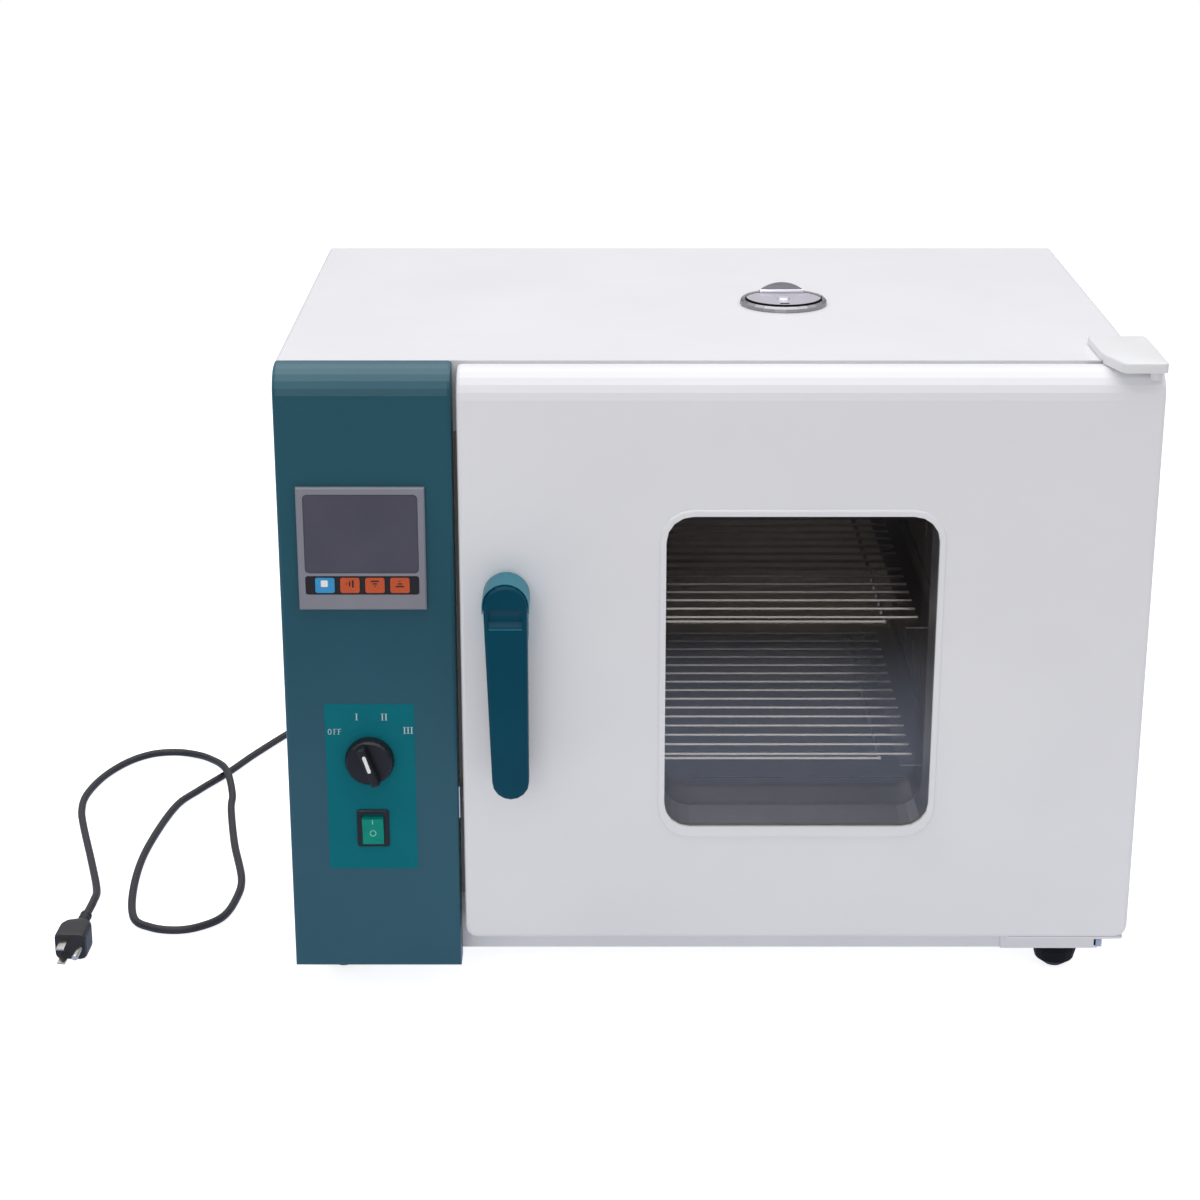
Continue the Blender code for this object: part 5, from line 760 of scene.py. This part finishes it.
print("rim from", round(min(vert.co.x for vert in rim.verts) / MM, 2), "to",
      round(max(vert.co.x for vert in rim.verts) / MM, 2), "mm")
# The rim takes the base's lighter teal: painted light of the handle's lit top.
make_piece("handle_rim", rim, own_finishes["handle_base"], "door")

# %% [markdown]
# The thumb scoop in the lever has a sharp upper edge that throws a dark line, and a lower edge that
# catches the light. Both are thin strips laid on the lever: a dark teal one of painted shade along
# the top, and one in the base's lighter teal of painted highlight along the bottom.
# %% Painted shade and highlight at the edges of the thumb scoop
# Dark teal strip above the scoop: painted shade. Lighter teal strip below it: painted highlight.
scoop_painted_shade = moulded("shaded_teal_nylon", "#022634", "#02212E", 0.5, 0.0)
SCOOP_STRIP_WIDTH = 24.8
SCOOP_STRIP_DEPTH = 0.3
SCOOP_STRIP_MIDDLE_Y = lever_low.y / MM - 0.02
for name, finish, spot_z, tall in (("scoop_upper_painted_shade", scoop_painted_shade, 332.6, 0.8),
                                   ("scoop_lower_painted_highlight", own_finishes["handle_base"], 318, 0.6)):
    scoop_strip = bmesh.new()
    corners = add_box(scoop_strip, (HEAD_X / MM, SCOOP_STRIP_MIDDLE_Y, spot_z), (SCOOP_STRIP_WIDTH, SCOOP_STRIP_DEPTH, tall))
    soften(scoop_strip, corners, 0.1, 1)
    make_piece(name, scoop_strip, finish, "handle")

# %% [markdown]
# The vent's disc has a tab to turn it by: a half-round flap of the same sheet, folded up at the
# back. It is cut from a disc by three planes and pulled to its thickness.
# %% Tab of the vent
disc_low, disc_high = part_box("vent_disc")
DISC_RADIUS = 31.2
DISC_THICKNESS = 1
VENT_X = (disc_low.x + disc_high.x) / 2 / MM
VENT_Y = disc_low.y / MM + DISC_RADIUS
DISC_TOP = disc_low.z / MM + DISC_THICKNESS
TAB_RADIUS = 28
TAB_HALF = 18.2
TAB_TOP = 521.4
TAB_OUT = 23.8
TAB_THICKNESS = 1.6
tab = bmesh.new()
stand = (Matrix.Translation(Vector((VENT_X, VENT_Y + TAB_OUT, TAB_TOP - TAB_RADIUS)) * MM)
         @ Matrix.Rotation(math.radians(90), 4, "X"))
bmesh.ops.create_circle(tab, cap_ends=True, segments=96, radius=TAB_RADIUS * MM, matrix=stand)
for spot, normal in (((0, 0, DISC_TOP + 0.1), (0, 0, -1)), ((VENT_X + TAB_HALF, 0, 0), (1, 0, 0)),
                     ((VENT_X - TAB_HALF, 0, 0), (-1, 0, 0))):
    bmesh.ops.bisect_plane(tab, geom=tab.verts[:] + tab.edges[:] + tab.faces[:],
                           plane_co=Vector(spot) * MM, plane_no=normal, clear_outer=True)
shift(tab, points_in(bmesh.ops.extrude_face_region(tab, geom=tab.faces[:])), (0, TAB_THICKNESS, 0))
bmesh.ops.recalc_face_normals(tab, faces=tab.faces)
make_piece("vent_tab", tab, own_finishes["vent_pipe"], "shutter")

# %% [markdown]
# The fold at the foot of the tab is painted much brighter than the tab: a painted highlight along
# its bent edge. The flat cap over the hub has the same bright finish. Near the disc's front edge is
# an oblong slot, a thin dark film here: painted shade of its opening. A thin dark ring runs round
# the front half of the disc, where it shows as a thin dark line above the collar: painted shade of
# the recess between the disc and the collar's rim.
# %% Fold highlight, hub, slot shade and shade ring of the vent
FOLD_OUT = 23.3
FOLD_RISE = 1.5
FOLD_SIZE = (36, 1.8, 2.6)
HUB_RISE = 0.85
HUB_HEIGHT = 1.4
HUB_LOW_RADIUS = 5.2
HUB_TOP_RADIUS = 4.4
fold = bmesh.new()
corners = add_box(fold, (VENT_X, VENT_Y + FOLD_OUT, DISC_TOP + FOLD_RISE), FOLD_SIZE)
soften(fold, corners, 0.7, 3)
bmesh.ops.create_cone(fold, cap_ends=True, segments=32, radius1=HUB_LOW_RADIUS * MM,
                      radius2=HUB_TOP_RADIUS * MM, depth=HUB_HEIGHT * MM,
                      matrix=Matrix.Translation(Vector((VENT_X, VENT_Y, DISC_TOP + HUB_RISE)) * MM))
# Much lighter than the tab's metal: painted highlight of the fold's bent edge.
fold_painted_highlight = brushed("fold_painted_highlight_metal", "#F2F2F6", "#ECECF1", 0.3, 0.9, 30)
make_piece("vent_fold", fold, fold_painted_highlight, "shutter")

# Near-black film for slots and gaps: painted shade.
painted_gap_shade = moulded("shaded_gap", "#15131A", "#111016", 0.6, 0.0, 60, 0.1)
SLOT_FORWARD = 16.6
SLOT_SIZE = (7.8, 3.4, 0.1)
SLOT_ROUND = 1.4
# The slot is a dark film on the disc: painted shade of its opening.
slot = bmesh.new()
corners = add_box(slot, (VENT_X, VENT_Y - SLOT_FORWARD, DISC_TOP + SLOT_SIZE[2] / 2), SLOT_SIZE)
soften(slot, corners, SLOT_ROUND, 4, along=UPRIGHT)
make_piece("vent_slot_painted_shade", slot, painted_gap_shade, "shutter")

SHADE_RING_RADIUS = 31
SHADE_RING_HEIGHT = 2
SHADE_RING_WALL = 0.8
# A thin dark ring on the disc's front half: painted shade of the recess under the collar's rim.
shade_ring = bmesh.new()
shade_ring_end = shade_ring.verts.new(Vector((VENT_X - SHADE_RING_RADIUS, VENT_Y, DISC_TOP + 0.1)) * MM)
bmesh.ops.spin(shade_ring, geom=[shade_ring_end], cent=Vector((VENT_X, VENT_Y, DISC_TOP)) * MM, axis=(0, 0, 1),
               angle=math.pi, steps=48)
shift(shade_ring, points_in(bmesh.ops.extrude_edge_only(shade_ring, edges=shade_ring.edges[:])), (0, 0, SHADE_RING_HEIGHT))
give_wall(shade_ring, SHADE_RING_WALL)
print("lip radius", round(max((vert.co.x / MM - VENT_X) for vert in shade_ring.verts), 2), "mm")
make_piece("vent_painted_shade_ring", shade_ring, painted_gap_shade, "shutter")

# %% [markdown]
# A white moulded cap covers the upper hinge. Seen from above it is a rectangle with its front left
# corner cut off at a steep angle, and its front half hangs down over the top of the door. The
# outline becomes a face, which is split across, pushed down, and pushed further down in front.
# %% Cap over the upper hinge
CAP_OUTLINE = [(282.6, -124.5), (283.5, -178), (294.4, -212), (327.5, -212), (327.5, -124.5)]
CAP_TOP = 515
CAP_LOW = 509.35
CAP_SKIRT = 507.4
CAP_SKIRT_BACK = -181
CAP_CORNER = 4
CAP_ROUND = 1.5
hinge_cap = bmesh.new()
hinge_cap.faces.new([hinge_cap.verts.new(Vector((x, y, CAP_TOP)) * MM) for x, y in CAP_OUTLINE])
bmesh.ops.bevel(hinge_cap, geom=hinge_cap.verts[:], offset=CAP_CORNER * MM, offset_type="OFFSET",
                affect="VERTICES", segments=4, profile=0.5, material=-1)
bmesh.ops.bisect_plane(hinge_cap, geom=hinge_cap.verts[:] + hinge_cap.edges[:] + hinge_cap.faces[:],
                       plane_co=(0, CAP_SKIRT_BACK * MM, 0), plane_no=(0, 1, 0))
lowered = bmesh.ops.extrude_face_region(hinge_cap, geom=hinge_cap.faces[:])
shift(hinge_cap, points_in(lowered), (0, 0, CAP_LOW - CAP_TOP))
front_floor = min((item for item in lowered["geom"] if isinstance(item, bmesh.types.BMFace)),
                  key=lambda face: face.calc_center_median().y)
skirt = bmesh.ops.extrude_face_region(hinge_cap, geom=[front_floor])
shift(hinge_cap, points_in(skirt), (0, 0, CAP_SKIRT - CAP_LOW))
bmesh.ops.recalc_face_normals(hinge_cap, faces=hinge_cap.faces)
top_edges = [edge for edge in hinge_cap.edges
             if all(vert.co.z > (CAP_TOP - 0.01) * MM for vert in edge.verts)
             and not all(face.normal.z > 0.9 for face in edge.link_faces)]
bevel_edges(hinge_cap, top_edges, CAP_ROUND, 4)
cap_piece = make_piece("hinge_cap", hinge_cap, finishes["white_plastic"], "cabinet")
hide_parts("hinge_cover")

# %% [markdown]
# The hinge pin enters the top of the door through a white bushing, a short tube that is spun from
# its section. A soft white strip closes the gap between the door's top and the cabinet, so that
# only a faint line shows there.
# %% Bushing and strip at the top of the door
PIN_X = 321.25
PIN_Y = -197.1
BUSHING_BORE = 3.4
BUSHING_RADIUS = 4.7
BUSHING_LOW = 499
BUSHING_TOP = 506.8
bushing = bmesh.new()
section = [bushing.verts.new(Vector((PIN_X + across, PIN_Y, rise)) * MM)
           for across, rise in ((BUSHING_BORE, BUSHING_LOW), (BUSHING_RADIUS, BUSHING_LOW),
                                (BUSHING_RADIUS, BUSHING_TOP), (BUSHING_BORE, BUSHING_TOP))]
walls = [bushing.edges.new(pair) for pair in zip(section, section[1:] + section[:1])]
bmesh.ops.spin(bushing, geom=section + walls, cent=Vector((PIN_X, PIN_Y, 0)) * MM, axis=(0, 0, 1),
               angle=math.tau, steps=32, use_merge=True)
bmesh.ops.remove_doubles(bushing, verts=bushing.verts, dist=MERGE_GAP)
bmesh.ops.recalc_face_normals(bushing, faces=bushing.faces)
make_piece("hinge_bushing", bushing, finishes["white_plastic"], "door")

STRIP_MIDDLE = (42, -180, 504.7)
STRIP_SIZE = (464, 2.3, 3.4)
strip = bmesh.new()
soften(strip, add_box(strip, STRIP_MIDDLE, STRIP_SIZE), 0.5, 2)
make_piece("door_top_strip", strip, finishes["white_plastic"], "cabinet")

# %% [markdown]
# The foot of the lower hinge ends in a pressed slot with a small bare zinc tongue beside it. The
# slot is a thin dark film: painted shade of its opening.
# %% End of the lower hinge
HINGE_FOOT_FRONT = -180.9
TONGUE_SIZE = (4.2, 0.8, 6.6)
HINGE_SLOT_SHADE_SIZE = (1.3, 0.4, 5.4)
tongue = bmesh.new()
soften(tongue, add_box(tongue, (311.8, HINGE_FOOT_FRONT, 31), TONGUE_SIZE), 0.25, 2)
make_piece("hinge_tongue", tongue, finishes["zinc_plate"], "cabinet")
# Dark film in the slot: painted shade.
hinge_slot_shade_film = bmesh.new()
add_box(hinge_slot_shade_film, (308.9, HINGE_FOOT_FRONT, 31.4), HINGE_SLOT_SHADE_SIZE)
make_piece("hinge_slot_painted_shade", hinge_slot_shade_film, painted_gap_shade, "cabinet")

# %% [markdown]
# The plug's two blades and its round earth pin are nickel-plated brass. The CAD solid has them in
# one piece with the black body, so thin bright sleeves are slipped over them. They are built along
# the plug's own axis, from its root, and then put where the plug lies.
# %% Metal pins of the plug
PLUG_ROOT = (-517.02, -92.6, 11.8)
PLUG_TURN = 177.968
PLUG_FACE = 58
BLADE_SIZE = (6.5, 17.3, 1.7)
BLADE_MIDDLE = 8.5
BLADE_SIDE = 6.35
BLADE_X = 4
EARTH_RADIUS = 2.5
EARTH_LENGTH = 19.8
EARTH_MIDDLE = 9.8
EARTH_X = -8
EARTH_TIP_FROM = 70
nickel = brushed("nickel_plated_brass", "#D3CFC8", "#C5C1BA", 0.16, 1, 20)
pins = bmesh.new()
for side in (-BLADE_SIDE, BLADE_SIDE):
    soften(pins, add_box(pins, (BLADE_X, PLUG_FACE + BLADE_MIDDLE, side), BLADE_SIZE), 0.3)
stand = (Matrix.Translation(Vector((EARTH_X, PLUG_FACE + EARTH_MIDDLE, 0)) * MM)
         @ Matrix.Rotation(math.radians(-90), 4, "X"))
earth = bmesh.ops.create_cone(pins, cap_ends=True, segments=24, radius1=EARTH_RADIUS * MM,
                              radius2=EARTH_RADIUS * MM, depth=EARTH_LENGTH * MM, matrix=stand)["verts"]
tip_edges = {edge for vert in earth for edge in vert.link_edges
             if all(end.co.y > EARTH_TIP_FROM * MM for end in edge.verts)}
bevel_edges(pins, tip_edges, 1.2, 3)
plug_place = (Matrix.Translation(Vector(PLUG_ROOT) * MM)
              @ Matrix.Rotation(math.radians(PLUG_TURN), 4, "Z"))
bmesh.ops.transform(pins, matrix=plug_place, verts=pins.verts)
make_piece("plug_pins", pins, nickel, "cabinet")

# %% [markdown]
# The back is held by pan-head screws. A screw is a turned profile: the head rises from a flat face
# in a low dome. Its recess is left out, because it would be smaller than a pixel.
# %% Screws
screw_metal = brushed("zinc_plated_screw", "#C4C9CE", "#B4B9BF", 0.22, 0.6, 4)
HEAD_PROFILE = [(0, 0.62), (0.45, 0.6), (0.8, 0.45), (1, 0.2), (1, 0)]
HEAD_RADIUS_MM = 3.2
EDGE_COLUMNS = (-312, 298)
INNER_COLUMNS = (-160, 0, 150)
EDGE_ROWS = (40, 495)
INNER_ROWS = (190, 345)


def add_screw(shape, spot, facing):
    """One pan head at a point, facing along the given direction."""
    radius = HEAD_RADIUS_MM * MM
    before = set(shape.verts)
    verts = [shape.verts.new((across * radius, 0, rise * radius)) for across, rise in HEAD_PROFILE]
    edges = [shape.edges.new(pair) for pair in zip(verts, verts[1:])]
    bmesh.ops.spin(shape, geom=verts + edges, cent=(0, 0, 0), axis=(0, 0, 1), angle=math.tau,
                   steps=20, use_merge=True)
    made = [vert for vert in shape.verts if vert not in before]
    bmesh.ops.remove_doubles(shape, verts=made, dist=MERGE_GAP)
    made = [vert for vert in made if vert.is_valid]
    turn = Vector(facing).to_track_quat("Z", "Y").to_matrix().to_4x4()
    bmesh.ops.transform(shape, matrix=Matrix.Translation(Vector(spot) * MM) @ turn, verts=made)


back_screws = bmesh.new()
rear_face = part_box("back_panel")[1].y / MM
spots = [(x, z) for x in EDGE_COLUMNS + INNER_COLUMNS for z in EDGE_ROWS]
spots += [(x, z) for x in EDGE_COLUMNS for z in INNER_ROWS]
for x, z in spots:
    add_screw(back_screws, (x, rear_face, z), (0, 1, 0))
bmesh.ops.recalc_face_normals(back_screws, faces=back_screws.faces)
make_piece("back_screws", back_screws, screw_metal, "cabinet", 60)
